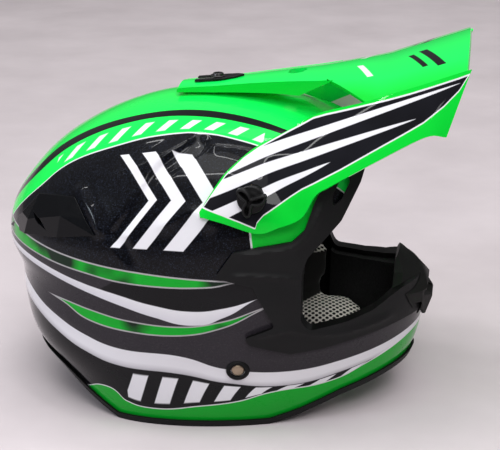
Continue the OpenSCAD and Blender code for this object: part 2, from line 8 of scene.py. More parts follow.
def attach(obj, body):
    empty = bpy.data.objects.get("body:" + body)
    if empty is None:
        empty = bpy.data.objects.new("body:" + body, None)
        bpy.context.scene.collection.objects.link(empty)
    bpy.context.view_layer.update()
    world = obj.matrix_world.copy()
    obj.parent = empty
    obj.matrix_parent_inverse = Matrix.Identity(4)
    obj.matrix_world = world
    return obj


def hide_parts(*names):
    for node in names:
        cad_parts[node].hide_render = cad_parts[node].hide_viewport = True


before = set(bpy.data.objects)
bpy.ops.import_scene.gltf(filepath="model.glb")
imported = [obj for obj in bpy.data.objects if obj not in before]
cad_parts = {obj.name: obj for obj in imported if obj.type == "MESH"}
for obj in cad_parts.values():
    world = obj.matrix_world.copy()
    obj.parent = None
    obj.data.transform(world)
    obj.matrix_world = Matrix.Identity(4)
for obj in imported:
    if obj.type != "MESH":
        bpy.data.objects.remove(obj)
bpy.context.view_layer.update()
MM = 0.001
FAR = 400.0
SIDES = ((-1, "right"), (1, "left"))
scene = bpy.context.scene

# Places that several pieces share: knob and rivet in side view, crown screw in plan, and wall thicknesses
KNOB_AT = (35, 197.5)
RIVET_AT = (23, 55)
CROWN_AT = (-13, 0)
SHELL_WALL = 4
SEAT_GAP = 0.3

# Form of the helmet: height, rear, front, half width, squareness of front and rear, widest share
STATIONS = np.array([
    [-10, -123, 123, 101, 1.85, 2.4, 0.34],
    [12, -133, 137, 109, 1.85, 2.5, 0.36],
    [32, -146, 148, 114, 1.85, 2.5, 0.38],
    [57, -169, 157, 118, 1.85, 2.4, 0.41],
    [84, -178, 159, 121.5, 1.87, 2.25, 0.45],
    [110, -180, 153, 124.5, 1.9, 2.2, 0.47],
    [132, -189, 147, 125, 1.95, 2.15, 0.47],
    [157, -185, 143, 122.5, 2, 2.15, 0.47],
    [182, -169, 138, 116, 2, 2.15, 0.47],
    [207, -145, 127, 102, 2, 2.15, 0.47],
    [228, -112, 105, 81, 2, 2.1, 0.47],
    [243, -76, 69, 53, 2, 2, 0.47],
    [249.5, -45, 33, 27, 2, 2, 0.47],
    [252, -7, -7, 0, 2, 2, 0.47]])
LAST = len(STATIONS) - 1


def mirrored(s):
    return [s[0], s[2], s[1], -s[3], s[4], s[5], s[6]]


TABLE = np.vstack([2 * STATIONS[0] - STATIONS[1], STATIONS, mirrored(STATIONS[-2]), mirrored(STATIONS[-3])])


def cubic(a, b, c, d, f):
    """Share f of the way from b to c, on a smooth curve through four values."""
    square, cube = 2 * a - 5 * b + 4 * c - d, 3 * b - a - 3 * c + d
    return 0.5 * (2 * b + (c - a) * f + square * f ** 2 + cube * f ** 3)


def section(t):
    """Values of the form at station number t and between."""
    i = np.clip(np.floor(t).astype(int), 0, LAST - 1)
    return cubic(TABLE[i], TABLE[i + 1], TABLE[i + 2], TABLE[i + 3], (t - i)[:, None])


def form_point(u, t):
    """Point of the form at angle u round the station t."""
    s = section(t)
    middle = s[:, 1] + (s[:, 2] - s[:, 1]) * s[:, 6]
    cu, su = np.cos(u), np.sin(u)
    reach = np.where(cu < 0, middle - s[:, 1], s[:, 2] - middle)
    n = np.where(cu < 0, s[:, 5], s[:, 4])

    def power(v):
        return np.sign(v) * np.abs(v) ** (2 / n)
    return np.stack([middle + reach * power(cu), s[:, 3] * power(su), s[:, 0]], 1)


def unit(v):
    return v / np.linalg.norm(v, axis=-1)[..., None]


def form_normal(u, t):
    du, dt = math.radians(1.5), 0.02
    across = form_point(u + du, t) - form_point(u - du, t)
    return unit(np.cross(across, form_point(u, t + dt) - form_point(u, t - dt)))


SECTIONS = section(np.linspace(0, LAST, 1301))


def side_y(x, z):
    """Half width of the form at x and z."""
    s = [np.interp(z, SECTIONS[:, 0], SECTIONS[:, k]) for k in range(7)]
    middle = s[1] + (s[2] - s[1]) * s[6]
    along = x - middle
    reach = np.where(along < 0, middle - s[1], s[2] - middle)
    n = np.where(along < 0, s[5], s[4])
    return s[3] * np.maximum(0, 1 - np.minimum(1, np.abs(along) / reach) ** n) ** (1 / n)


# Mesh helpers, in millimetres
def add_object(name, data):
    obj = bpy.data.objects.new(name, data)
    scene.collection.objects.link(obj)
    return obj


def new_object(name, verts, faces):
    mesh = bpy.data.meshes.new(name)
    mesh.from_pydata((np.asarray(verts, float) * MM).tolist(), [], faces)
    mesh.validate()
    return add_object(name, mesh)


def face_out(obj):
    """Turns all faces outwards."""
    bm = bmesh.new()
    bm.from_mesh(obj.data)
    bmesh.ops.recalc_face_normals(bm, faces=bm.faces)
    bm.to_mesh(obj.data)
    bm.free()
    return obj


def apply_modifier(obj, mod):
    bpy.context.view_layer.objects.active = obj
    bpy.ops.object.modifier_apply(modifier=mod.name)


def add_modifier(obj, kind, **settings):
    """Adds a modifier and applies it at once."""
    mod = obj.modifiers.new(kind.lower(), kind)
    for key, value in settings.items():
        setattr(mod, key, value)
    apply_modifier(obj, mod)


def boolean(operation, obj, tools):
    """Joins tools to an object, cuts them out of it or keeps what it shares with each; the tools go."""
    for tool in tools:
        mesh = tool.data
        add_modifier(obj, "BOOLEAN", operation=operation, solver="MANIFOLD", object=tool)
        bpy.data.objects.remove(tool)
        bpy.data.meshes.remove(mesh)
    return obj


def weld(obj, *tools):
    return boolean("UNION", obj, tools)


def cut(obj, *tools):
    return boolean("DIFFERENCE", obj, tools)


def keep(obj, *tools):
    return boolean("INTERSECT", obj, tools)


def smooth(obj, angle=35):
    obj.data.shade_smooth()
    obj.data.set_sharp_from_angle(angle=math.radians(angle))
    return obj


def bevel(obj, width, angle=30):
    mod = obj.modifiers.new("edge", "BEVEL")
    mod.width = width * MM
    mod.segments = 2
    mod.limit_method = "ANGLE"
    mod.angle_limit = math.radians(angle)
    mod.use_clamp_overlap = True


def join(objs, name):
    bpy.ops.object.select_all(action="DESELECT")
    for o in objs:
        o.select_set(True)
    bpy.context.view_layer.objects.active = objs[0]
    bpy.ops.object.join()
    objs[0].name = name
    return objs[0]


def mirror_copy(obj, name):
    """Copy on the other side of the middle plane."""
    copy = add_object(name, obj.data.copy())
    bm = bmesh.new()
    bm.from_mesh(copy.data)
    for v in bm.verts:
        v.co.y = -v.co.y
    bmesh.ops.reverse_faces(bm, faces=bm.faces)
    bm.to_mesh(copy.data)
    bm.free()
    return copy


def ring_faces(rows, cols, closed=False):
    """Faces between rings of points, and from the last ring to the first if closed."""
    here = np.arange(rows * cols).reshape(rows, cols)
    if closed:
        here = np.vstack([here, here[:1]])
    after = np.roll(here, -1, 1)
    return np.stack([here[:-1], after[:-1], after[1:], here[1:]], 2).reshape(-1, 4).tolist()


def tube(name, rings, closed=False):
    """Surface through rings of points: closed to a ring, or with flat ends."""
    rings = np.asarray(rings, float)
    rows, cols = rings.shape[:2]
    faces = ring_faces(rows, cols, closed)
    if not closed:
        faces += [tuple(range(cols)), tuple(range((rows - 1) * cols, rows * cols))]
    return face_out(new_object(name, rings.reshape(-1, 3), faces))


def domed(name, points, top, foot, rows, cols):
    """Solid through rings of points, closed by one point over the last ring and one under the first."""
    n = rows * cols
    faces = ring_faces(rows, cols)
    faces += [(n - cols + b, n - cols + (b + 1) % cols, n) for b in range(cols)]
    faces += [((b + 1) % cols, b, n + 1) for b in range(cols)]
    return new_object(name, np.vstack([points, top, foot]), faces)


COARSE_GRID = (160, 100)
FORM_GRID = (240, 156)
FINE_GRID = (408, 265)


def form_mesh(name, out, grid=FORM_GRID, relief=None):
    """The helmet's form moved out along its normals, and by a relief."""
    cols, rows = grid
    t = np.repeat(LAST * np.arange(rows) / rows, cols)
    u = np.tile(2 * np.pi * np.arange(cols) / cols, rows)
    p = form_point(u, t)
    p = p + form_normal(u, t) * (out + (relief(p) if relief else np.zeros(len(p))))[:, None]
    crown = [STATIONS[-1][1], 0, STATIONS[-1][0] + out]
    return domed(name, p, crown, [0, 0, p[0][2]], rows, cols)


def skin(name, outer, inner, relief=None):
    """Layer between two offsets of the form, on a finer mesh where it has relief."""
    grid = FINE_GRID if relief else FORM_GRID
    return cut(form_mesh(name, outer, grid, relief), form_mesh("inner", inner))


def prism(outline, start=-FAR, end=FAR, axis="y"):
    """Outline in side view (x, z), front view (y, z) or plan (x, y), carried along the third axis."""
    pts = np.asarray(outline, float)
    return tube("prism", [np.insert(pts, "xyz".index(axis), at, axis=1) for at in (start, end)])


def box(low, high):
    corners = [(low[0], low[2]), (high[0], low[2]), (high[0], high[2]), (low[0], high[2])]
    return prism(corners, low[1], high[1])


def cut_sides(obj, outline, near=0):
    """Cuts an outline into both sides, from a distance off the middle outwards."""
    cut(obj, prism(outline, near, FAR), prism(outline, -FAR, -near))


CIRCLE_SIDES = 48
FILLET_POINTS = 6


def circle(at, r, sides=CIRCLE_SIDES):
    return [(at[0] + r * math.cos(t), at[1] + r * math.sin(t)) for t in np.arange(sides) / sides * math.tau]


def both_halves(half):
    """Outline from its half on one side of the first axis and the mirror image of that."""
    return half + [(a, -b) for a, b in reversed(half) if b]


def fillet(outline, r):
    """Outline with its corners rounded."""
    pts = np.asarray(outline, float)
    out = []
    for i in range(len(pts)):
        a, b, c = pts[i - 1], pts[i], pts[(i + 1) % len(pts)]
        ba, bc = a - b, c - b
        la, lc = np.linalg.norm(ba), np.linalg.norm(bc)
        half = math.acos(np.clip(ba @ bc / la / lc, -1, 1)) / 2
        d = min(r / max(math.tan(half), 0.05), la * 0.45, lc * 0.45)
        p, q = b + ba / la * d, b + bc / lc * d
        for s in np.linspace(0, 1, FILLET_POINTS):
            out.append((1 - s) ** 2 * p + 2 * s * (1 - s) * b + s * s * q)
    return np.array(out)


def grow(outline, d):
    """Outline moved out by d, for outlines that turn anticlockwise or clockwise alike."""
    pts = np.asarray(outline, float)
    after = np.roll(pts, -1, 0)
    area = np.sum(pts[:, 0] * after[:, 1] - after[:, 0] * pts[:, 1])
    e = after - pts
    e = e / np.maximum(np.linalg.norm(e, axis=1), 1e-9)[:, None]
    n = np.stack([e[:, 1], -e[:, 0]], 1) * (1 if area > 0 else -1)
    m = n + np.roll(n, 1, 0)
    m = m / np.maximum(np.sum(m * np.roll(n, 1, 0), 1), 0.4)[:, None]
    return pts + m * d


def spline(points, per=8):
    """Smooth curve through points."""
    p = np.asarray(points, float)
    q = np.vstack([2 * p[0] - p[1], p, 2 * p[-1] - p[-2]])
    out = []
    for i in range(len(p) - 1):
        out += [cubic(*q[i:i + 4], f) for f in np.arange(per) / per]
    return np.array(out + [p[-1]])


def step(low, high, v):
    """Smooth rise from 0 to 1 between two values."""
    s = np.clip((v - low) / (high - low), 0, 1)
    return s * s * (3 - 2 * s)


# Height of a line through the ears, and millimetres to a degree of roll about it on the crown
ROLL_Z = 100.0
ROLL_MM = 2.2
# Values of the materials: contrast of worn edges, and the point that inner faces look towards
MM_PER_M = 1000
EDGE_CONTRAST = 6
HELMET_MIDDLE = (-0.02, 0, 0.1)


# Materials: a small layer over shader nodes, so that patterns read as sums
def linear(r, g, b):
    """Linear colour of a colour given as 0 to 255 on screen."""
    def one(c):
        c = c / 255
        return c / 12.92 if c <= 0.04045 else ((c + 0.055) / 1.055) ** 2.4
    return (one(r), one(g), one(b), 1)


def shade(colour, k, lift=0.0):
    """Colour made darker or paler by a factor."""
    return tuple(min(1, c * k + lift) for c in colour[:3]) + (1,)


class Term:
    """A value inside a material; sums of terms add nodes."""

    def __init__(self, paint, socket):
        self.paint = paint
        self.socket = socket

    def __rsub__(self, other):
        return self.paint.math("SUBTRACT", other, self)

    def clip(self, width=1):
        """From 0 to 1 while the value goes from minus half the width to plus half of it."""
        return self.paint.math("MULTIPLY_ADD", self, 1 / width, 0.5, clamp=True)


# The other operators and methods of a term: each adds one node
TERM_NODES = {"__add__": "ADD", "__sub__": "SUBTRACT", "__mul__": "MULTIPLY", "__truediv__": "DIVIDE",
              "low": "MINIMUM", "high": "MAXIMUM", "size": "ABSOLUTE", "power": "POWER",
              "wrap": "FLOORED_MODULO"}
for method, operation in TERM_NODES.items():
    setattr(Term, method, lambda term, *other, kind=operation: term.paint.math(kind, term, *other))


class Paint:
    """A material whose coordinates are millimetres in the frame of the object."""

    def __init__(self, name):
        self.material = bpy.data.materials.new(name)
        self.material.use_nodes = True
        self.tree = self.material.node_tree
        self.shader = self.tree.nodes["Principled BSDF"]
        place = self.node("TexCoord", {})
        self.point = place.outputs["Object"]
        self.normal = place.outputs["Normal"]
        self.x, self.y, self.z = (self.axis(self.point, k) * MM_PER_M for k in range(3))

    def node(self, kind, inputs, **settings):
        made = self.tree.nodes.new("ShaderNode" + kind)
        for key, value in settings.items():
            setattr(made, key, value)
        for key, value in inputs.items():
            self.put(made.inputs[key], value)
        return made

    def put(self, into, value):
        """Feeds an input with a term, another node's output or a plain value."""
        if isinstance(value, Term):
            value = value.socket
        if isinstance(value, bpy.types.NodeSocket):
            self.tree.links.new(value, into)
        else:
            into.default_value = value

    def set(self, **sockets):
        for key, value in sockets.items():
            self.put(self.shader.inputs[key.replace("_", " ").title().replace("Ior", "IOR")], value)

    def math(self, operation, *values, clamp=False):
        made = self.node("Math", dict(enumerate(values)), operation=operation, use_clamp=clamp)
        return Term(self, made.outputs[0])

    def dot(self, a, b):
        made = self.node("VectorMath", {0: a, 1: b}, operation="DOT_PRODUCT")
        return Term(self, made.outputs["Value"])

    def mix(self, a, b, share):
        made = self.node("Mix", {"Factor": share, 6: a, 7: b}, data_type="RGBA")
        return Term(self, made.outputs[2])

    def curve(self, value, points, corners=False):
        """Smooth or cornered line through points, as a function of a value."""
        pts = np.array(points, float)
        x0, x1 = pts[0, 0], pts[-1, 0]
        y0, y1 = pts[:, 1].min() - 1, pts[:, 1].max() + 1
        made = self.node("FloatCurve", {"Value": (value - x0) / (x1 - x0)})
        line = made.mapping.curves[0]
        for k, (px, py) in enumerate(pts):
            at = ((px - x0) / (x1 - x0), (py - y0) / (y1 - y0))
            if k < 2:
                line.points[k].location = at
            else:
                line.points.new(*at)
        if corners:
            for point in line.points:
                point.handle_type = "VECTOR"
        made.mapping.update()
        return Term(self, made.outputs[0]) * (y1 - y0) + y0

    def noise(self, scale, detail=2.0, rough=0.5, stretch=None):
        source = self.point
        if stretch:
            source = self.node("Mapping", {"Scale": stretch, "Vector": source}).outputs[0]
        inputs = {"Scale": scale, "Detail": detail, "Roughness": rough, "Vector": source}
        return Term(self, self.node("TexNoise", inputs).outputs["Fac"])

    def cells(self, scale, output="Distance", feature="F1"):
        made = self.node("TexVoronoi", {"Scale": scale, "Vector": self.point}, feature=feature)
        return Term(self, made.outputs[output])

    def grey(self, colour):
        return Term(self, self.node("RGBToBW", {0: colour}).outputs[0])

    def edges(self, radius):
        """Near 1 along sharp edges, 0 on flat faces."""
        rounded = self.node("Bevel", {"Radius": radius * MM}, samples=4)
        face = self.node("NewGeometry", {})
        level = self.dot(rounded.outputs[0], face.outputs["Normal"])
        return self.math("MULTIPLY_ADD", level, -EDGE_CONTRAST, EDGE_CONTRAST, clamp=True)

    def bump(self, height, distance, strength=1.0):
        made = self.node("Bump", {"Strength": strength, "Distance": distance * MM, "Height": height})
        self.put(self.shader.inputs["Normal"], made.outputs[0])

    def outward(self):
        """How far the face looks away from the middle of the helmet."""
        way = self.node("VectorMath", {0: self.point, 1: HELMET_MIDDLE}, operation="SUBTRACT")
        return self.dot(way.outputs[0], self.normal) * MM_PER_M

    def axis(self, out, k):
        return Term(self, self.node("SeparateXYZ", {0: out}).outputs[k])


# Colours of the paintwork
GREEN = linear(16, 234, 84)
# Darker green as painted shade: used on the arms' side faces and on the field under the peak, where these lie
# in shade
GREEN_PAINTED_SHADE = linear(10, 200, 52)
GREEN_LOW = linear(8, 160, 40)
WHITE = linear(222, 221, 226)
BLACK = linear(12, 12, 15)
GREY = linear(41, 38, 43)
PIN = linear(168, 166, 168)


def inside(u, v, corners):
    """Inside of a convex outline whose corners turn anticlockwise."""
    least = None
    for (u0, v0), (u1, v1) in zip(corners, corners[1:] + corners[:1]):
        length = math.hypot(u1 - u0, v1 - v0)
        d = (v - v0) * ((u1 - u0) / length) - (u - u0) * ((v1 - v0) / length)
        least = d if least is None else least.low(d)
    return least.clip(0.5)


def between(value, low_line, high_line, soft=0.5):
    """1 between two lines, with soft edges."""
    return (value - low_line).low(high_line - value).clip(soft)


def clear_coat(p, colour, dull, sheen=0.0):
    """Painted and lacquered plastic: colour with some sheen below, a clear coat above."""
    haze = p.noise(60, 3)
    scratch = p.noise(900, 2, 0.6, (0.12, 1, 1))
    p.set(base_color=colour, roughness=haze * 0.10 + scratch * 0.08 + dull, specular_ior_level=sheen,
          coat_weight=1.0, coat_roughness=0.03, coat_ior=1.23)
    p.bump(p.noise(140, 2), 0.05, 0.25)
    return p.material


# Bands of the crown, as x and roll angle
STRIPE_TOP = [(-190, 26), (-155, 22.5), (-118, 18), (-82, 17.6), (-26, 17.7), (9, 19.3), (52, 22.9),
              (90, 27)]
STRIPE_LOW = [(-190, 34), (-155, 30), (-114, 23.4), (-79, 21.4), (-49, 20.7), (-18, 21.3), (10, 22.5),
              (90, 29)]
CROWN_LOW = [(-190, 47), (-145, 39.4), (-116, 33.8), (-78, 31.4), (-47, 29.3), (-13, 28.4), (19, 30.3),
             (60, 34), (90, 37)]
# Sweeps of the lower side, as x and z
SWEEP_TOP = [(-190, 153), (-150, 146), (-99, 139.5), (-39, 135), (20, 131.5), (160, 124)]
SWEEP_LOW = [(-190, 142), (-150, 137), (-99, 131), (-39, 126.5), (0, 127.5), (24, 131.5), (160, 140)]
SWASH_TOP = [(-190, 137), (-150, 131), (-100, 121), (-68, 115.5), (-40, 110), (-10, 107), (13, 110),
             (38, 117), (160, 150)]
SWASH_LOW = [(-190, 132), (-150, 125.5), (-100, 114.5), (-68, 107), (-40, 100), (-10, 95), (13, 102),
             (38, 117), (160, 170)]
LEAF_TOP = [(-190, 100), (-122, 101), (-95, 98), (-60, 93.5), (-20, 92.5), (10, 97.5), (40, 108), (160, 150)]
LEAF_LOW = [(-190, 112), (-122, 101), (-95, 90), (-60, 85.5), (-20, 86), (10, 93), (40, 108), (160, 170)]
BELT_TOP = [(-190, 110), (-160, 100), (-130, 87), (-100, 76), (-68, 69), (-25, 68), (14, 56), (60, 51),
            (100, 55), (160, 70)]
BELT_LOW = [(-190, 97), (-160, 86), (-130, 73), (-100, 61), (-68, 53), (-25, 51), (14, 43), (60, 38),
            (100, 44), (160, 61)]
HEM_TOP = [(-190, 26), (-110, 22), (-86, 30), (-68, 19), (-48, 15), (-8, 20), (19, 24), (54, 33), (84, 35),
           (118, 46), (160, 66)]

# Marks of the shell: pitch, lean and half width of slanted bars, front and width of chevrons
CROWN_BAR_PITCH, CROWN_BAR_LEAN, CROWN_BAR_HALF = 19, 15, 3.6
HEM_BAR_PITCH, HEM_BAR_LEAN, HEM_BAR_HALF = 24, 12, 6.2
CHEVRONS = ((12, 15), (-16, 11), (-38, 7))
CHEVRON_ARC, CHEVRON_HALF, CHEVRON_LEAN = 112, 33, 0.85
PIN_WIDTH = 1.1
# Green field under the peak, in a darker green that is painted shade from the peak's arm, and the same with a
# pale edge
FIELD = [(36, 150), (64, 150), (76, 168), (84, 200), (84, 232), (60, 232), (33, 172)]
FIELD_EDGE = [(34.6, 150)] + FIELD[1:-1] + [(31.6, 172)]


def shell_paint():
    p = Paint("shell_paint")
    x, z = p.x, p.z
    side = p.y.size()
    angle = p.math("ARCTAN2", side, z - ROLL_Z) * math.degrees(1)
    speck = p.grey(p.cells(1500, "Color")).power(5)
    black = p.mix(linear(3, 3, 5), linear(92, 102, 128), speck * 0.22)
    grey = p.mix(GREY, linear(100, 96, 102), speck * 0.2)
    cloud = p.noise(22, 2)
    # Crown
    top, low, hem = (p.curve(x, line) for line in (STRIPE_TOP, STRIPE_LOW, CROWN_LOW))
    colour = p.mix(black, WHITE, (hem - angle + 0.5).clip(0.3))
    colour = p.mix(colour, GREEN, (hem - angle).clip(0.3))
    across = (angle - low) / (hem - low)
    bar = ((x + across * CROWN_BAR_LEAN).wrap(CROWN_BAR_PITCH) - 5.2).size()
    bars = (CROWN_BAR_HALF - bar).low((across - 0.26) * 12).low((0.80 - across) * 12)
    colour = p.mix(colour, WHITE, bars.low(x + 132).low(36 - x).clip(0.6))
    colour = p.mix(colour, BLACK, between(angle, top, low, 0.25))
    # Chevrons on the flank
    arc = (angle * ROLL_MM - CHEVRON_ARC).size()
    nose = x + arc * CHEVRON_LEAN
    wings = CHEVRON_HALF - arc
    for front, width in CHEVRONS:
        colour = p.mix(colour, WHITE, (nose - (front - width)).low(front - nose).low(wings).clip(0.6))
    # Sweeps of the side
    sweep, sweep_low = p.curve(x, SWEEP_TOP), p.curve(x, SWEEP_LOW)
    swash, swash_low = p.curve(x, SWASH_TOP), p.curve(x, SWASH_LOW)
    leaf, leaf_low = p.curve(x, LEAF_TOP), p.curve(x, LEAF_LOW)
    colour = p.mix(colour, PIN, (sweep + 0.6 - z).clip(0.5))
    field = p.mix(grey, BLACK, (z - swash).low(x + 84 - (z - 118) * 1.5).clip(2))
    colour = p.mix(colour, field, (sweep - 0.6 - z).clip(0.5))
    blot = ((cloud - 0.52) * 7).clip(1)
    spray = p.mix(GREEN_LOW, linear(10, 34, 18), blot)
    for foot, head, over in ((sweep_low, sweep - 0.6, 0), (leaf_low, leaf, PIN_WIDTH)):
        colour = p.mix(colour, PIN, between(z, foot - PIN_WIDTH, head + over))
        colour = p.mix(colour, spray, between(z, foot, head))
    tint = ((z - swash_low) / (swash - swash_low).high(1)).clip(1.6)
    colour = p.mix(colour, p.mix(linear(196, 194, 204), WHITE, tint), between(z, swash_low, swash))
    # Belt with sprayed lower edge, and slanted bars below it
    belt, belt_low, hem_top = (p.curve(x, line) for line in (BELT_TOP, BELT_LOW, HEM_TOP))
    fade = ((z - belt_low) / (belt - belt_low)).power(0.8)
    colour = p.mix(colour, BLACK, (belt_low - z).clip(1.5))
    colour = p.mix(colour, p.mix(linear(96, 88, 100), WHITE, fade.clip(0.9)), between(z, belt_low, belt))
    rise = (z - hem_top) / (belt_low - hem_top).high(2)
    tick = ((x - rise * HEM_BAR_LEAN).wrap(HEM_BAR_PITCH) - 8).size()
    ticks = (HEM_BAR_HALF - tick).low((rise - 0.16) * 14).low((0.86 - rise) * 14)
    colour = p.mix(colour, WHITE, ticks.low(x + 66).low(150 - x).clip(0.6))
    colour = p.mix(colour, WHITE, (hem_top + 0.9 - z).clip(0.5))
    colour = p.mix(colour, GREEN_LOW, (hem_top - z).clip(0.5))
    under = (angle - hem - 6).clip(1)
    # Green field under the peak with a pale edge; the field's darker green is painted shade from the peak's
    # arm
    colour = p.mix(colour, WHITE, inside(x, z, FIELD_EDGE) * under)
    colour = p.mix(colour, GREEN_PAINTED_SHADE, inside(x, z, FIELD) * under)
    # Bare inner face
    colour = p.mix(p.mix(linear(14, 14, 15), linear(24, 24, 24), cloud), colour, p.outward().clip(4))
    return clear_coat(p, colour, 0.2, 0.06)


# Panels of the peak's sides, as x and z
PANEL_TOP = [(-12, 176), (-1, 190), (5, 199), (14, 212), (25, 222), (36, 229.3), (51, 237.6), (66, 246),
             (75, 251.4), (84, 254.5), (102, 259.7), (128, 267.6), (145, 273.2), (162, 279.4), (179, 285.8),
             (186, 288.7), (195, 292)]
PANEL_LOW = [(-12, 193), (-1, 189), (12, 185), (27, 179.5), (38, 175), (39, 179.5), (43.5, 185), (55, 193),
             (71, 204.5), (99, 220), (126, 236.3), (142, 246), (156, 254.8), (170, 266.5), (180, 277.3),
             (186.4, 288.5), (195, 300)]

# Tapered stripes of the panels: height over the peak's slope, rise, width and tip
PEAK_SLOPE, PEAK_FOOT = 0.47, 187
PEAK_STRIPES = ((23.5, -0.071, 9.6, 180), (12.4, -0.087, 10.4, 150), (-8.2, 0.03, 12.5, 90))
# Slashes of the top: front, width, reach from and to the sides, and colour
PEAK_SLASHES = ((148, 6, 16, 62, BLACK), (137, 4, 20, 56, BLACK), (100, 4.5, 14, 44, WHITE))


def peak_paint():
    p = Paint("peak_paint")
    x, z = p.x, p.z
    out = p.axis(p.normal, 1) * p.math("SIGN", p.y)
    outer = (out - 0.25).clip(0.1)
    top, low = p.curve(x, PANEL_TOP, True), p.curve(x, PANEL_LOW, True)
    height = z - (x * PEAK_SLOPE + PEAK_FOOT)
    # Side faces of the arms take the darker green, a painted shade against the lit top
    colour = p.mix(p.mix(GREEN, linear(20, 222, 92), p.noise(9, 2)), GREEN_PAINTED_SHADE, outer)
    colour = p.mix(colour, WHITE, between(z, low - 0.6, top + 0.2) * outer)
    panel = p.mix(BLACK, linear(30, 30, 36), p.noise(30, 2))
    for base, rise, wide, tip in PEAK_STRIPES:
        taper = ((tip - x) / (tip + 10)).high(0)
        stripe = (taper.power(0.7) * (wide / 2)) - (height - base - (x * rise)).size()
        panel = p.mix(panel, WHITE, stripe.low((tip - x) * 0.3).clip(0.5))
    colour = p.mix(colour, panel, between(z, low + 0.5, top - 0.9) * outer)
    # Slashes on the top
    side = p.y.size()
    upper = (p.axis(p.normal, 2) - 0.5).clip(0.2)
    slant = x - side * 0.35
    for front, width, near, far_side, tone in PEAK_SLASHES:
        mark = (slant - (front - width)).low(front - slant).low(side - near).low(far_side - side).clip(0.6)
        colour = p.mix(colour, tone, mark * upper)
    # Bare inner face of the arms
    bare = p.mix(linear(226, 216, 216), linear(240, 232, 232), p.noise(40, 2))
    colour = p.mix(colour, bare, (-0.3 - out).clip(0.1) * (2 - height).clip(1))
    return clear_coat(p, colour, 0.2)


def moulded(name, colour, rough, grain=1500, height=0.05, wear=0.35, inner=None):
    """Moulded plastic or rubber with a fine grain, paler along worn edges, and, if a colour is given, darker
    on inner faces as painted shade.
    """
    p = Paint(name)
    base = p.mix(shade(colour, 0.72), colour, p.noise(38, 3))
    base = p.mix(base, shade(colour, 1.9, 0.012), p.edges(0.8) * (p.noise(120, 3) * wear))
    # Faces that look in towards the middle take the given darker colour: painted shade for the inside
    if inner:
        base = p.mix(linear(*inner), base, p.outward().clip(8))
    p.set(base_color=base, roughness=p.noise(260, 3) * 0.16 + (rough - 0.08), specular_ior_level=0.14)
    p.bump(p.noise(grain, 2, 0.6), height, 0.6)
    return p.material


def metal(name, colour, rough):
    """Brushed metal with dull patches."""
    p = Paint(name)
    brush = p.noise(700, 3, 0.6, (1, 1, 0.05))
    dull = p.noise(90, 3)
    p.set(base_color=p.mix(shade(colour, 0.6), colour, dull * 0.6 + brush * 0.5), metallic=1.0,
          roughness=brush * 0.2 + dull * 0.15 + (rough - 0.15))
    p.bump(brush, 0.03, 0.4)
    return p.material


# Cloth and foam, in millimetres but for the beads
THREAD_PITCH = 1.1
MESH_PITCH, MESH_ROW = 6.2, 5.2
BEADS_PER_M = 330
RIB_PITCH, LEAN_PITCH, STITCH_PITCH = 1.4, 2.2, 4


def knit(name, colour):
    """Knitted lining: rows of small loops, with sheen."""
    p = Paint(name)
    per_mm = math.tau / THREAD_PITCH
    u = (p.x + p.z * 0.45) * per_mm
    v = (p.z - p.y * 0.6) * per_mm
    loops = p.math("SINE", u) * p.math("SINE", v) * 0.5 + 0.5
    fuzz = p.noise(1800, 2)
    p.set(base_color=p.mix(shade(colour, 0.45), colour, loops * 0.6 + fuzz * 0.4),
          roughness=fuzz * 0.15 + 0.78, sheen_weight=0.35, sheen_roughness=0.5, specular_ior_level=0.2)
    p.bump(loops * 0.7 + fuzz * 0.5, 0.25, 0.7)
    return p.material


def netting(name, backing):
    """Open mesh cloth over a dark backing: staggered oval holes in pale thread."""
    p = Paint(name)
    u = p.x + p.y.size() * 0.2
    v = p.z + p.y.size()
    gap = None
    for shift in (0, 0.5):
        du = (u / MESH_PITCH + shift).wrap(1) - 0.5
        dv = (v / MESH_ROW + shift).wrap(1) - 0.5
        d = p.math("SQRT", du * du + dv * dv * 0.8)
        gap = d if gap is None else gap.low(d)
    toe = 57.5 - (p.x - 91) * (p.x - 91) * 0.0079 - p.z
    net = (p.z - 90).high((p.x - 42).low(toe)).clip(1.5)
    thread = (gap - 0.25).clip(0.12) * net
    fuzz = p.noise(2200, 2)
    pale = p.mix(linear(226, 218, 206), linear(250, 246, 240), fuzz)
    p.set(base_color=p.mix(backing, pale, thread), roughness=fuzz * 0.1 + 0.75, sheen_weight=0.2,
          specular_ior_level=0.2)
    p.bump(thread + fuzz * 0.15, 0.5, 0.8)
    return p.material


def bead_foam(name, colour):
    """Moulded foam: packed beads."""
    p = Paint(name)
    beads = p.cells(BEADS_PER_M)
    seam = p.cells(BEADS_PER_M, "Distance", "DISTANCE_TO_EDGE")
    p.set(base_color=p.mix(shade(colour, 0.5), colour, (seam * 9).clip(1)), roughness=beads * 0.15 + 0.7,
          specular_ior_level=0.3)
    p.bump(seam, 0.8, 0.6)
    return p.material


def woven(name, colour):
    """Webbing: ribs across, a herringbone lean and two rows of stitches."""
    p = Paint(name)
    run = p.z - p.y.size()
    rib = p.math("SINE", run * (math.tau / RIB_PITCH)) * 0.5 + 0.5
    lean = p.math("SINE", (p.x + run * 0.6) * (math.tau / LEAN_PITCH)) * 0.5 + 0.5
    row = ((p.x - RIVET_AT[0]).size() - 9).size()
    dash = (run.wrap(STITCH_PITCH) - STITCH_PITCH / 2).size()
    stitch = (0.45 - row).low(1.3 - dash).clip(0.3)
    base = p.mix(shade(colour, 0.5), colour, rib * 0.5 + lean * 0.5)
    p.set(base_color=p.mix(base, linear(120, 120, 124), stitch), roughness=p.noise(1500, 2) * 0.1 + 0.72,
          sheen_weight=0.25, specular_ior_level=0.25)
    p.bump(rib * 0.6 + lean * 0.4 + stitch * 0.5, 0.35, 0.8)
    return p.material


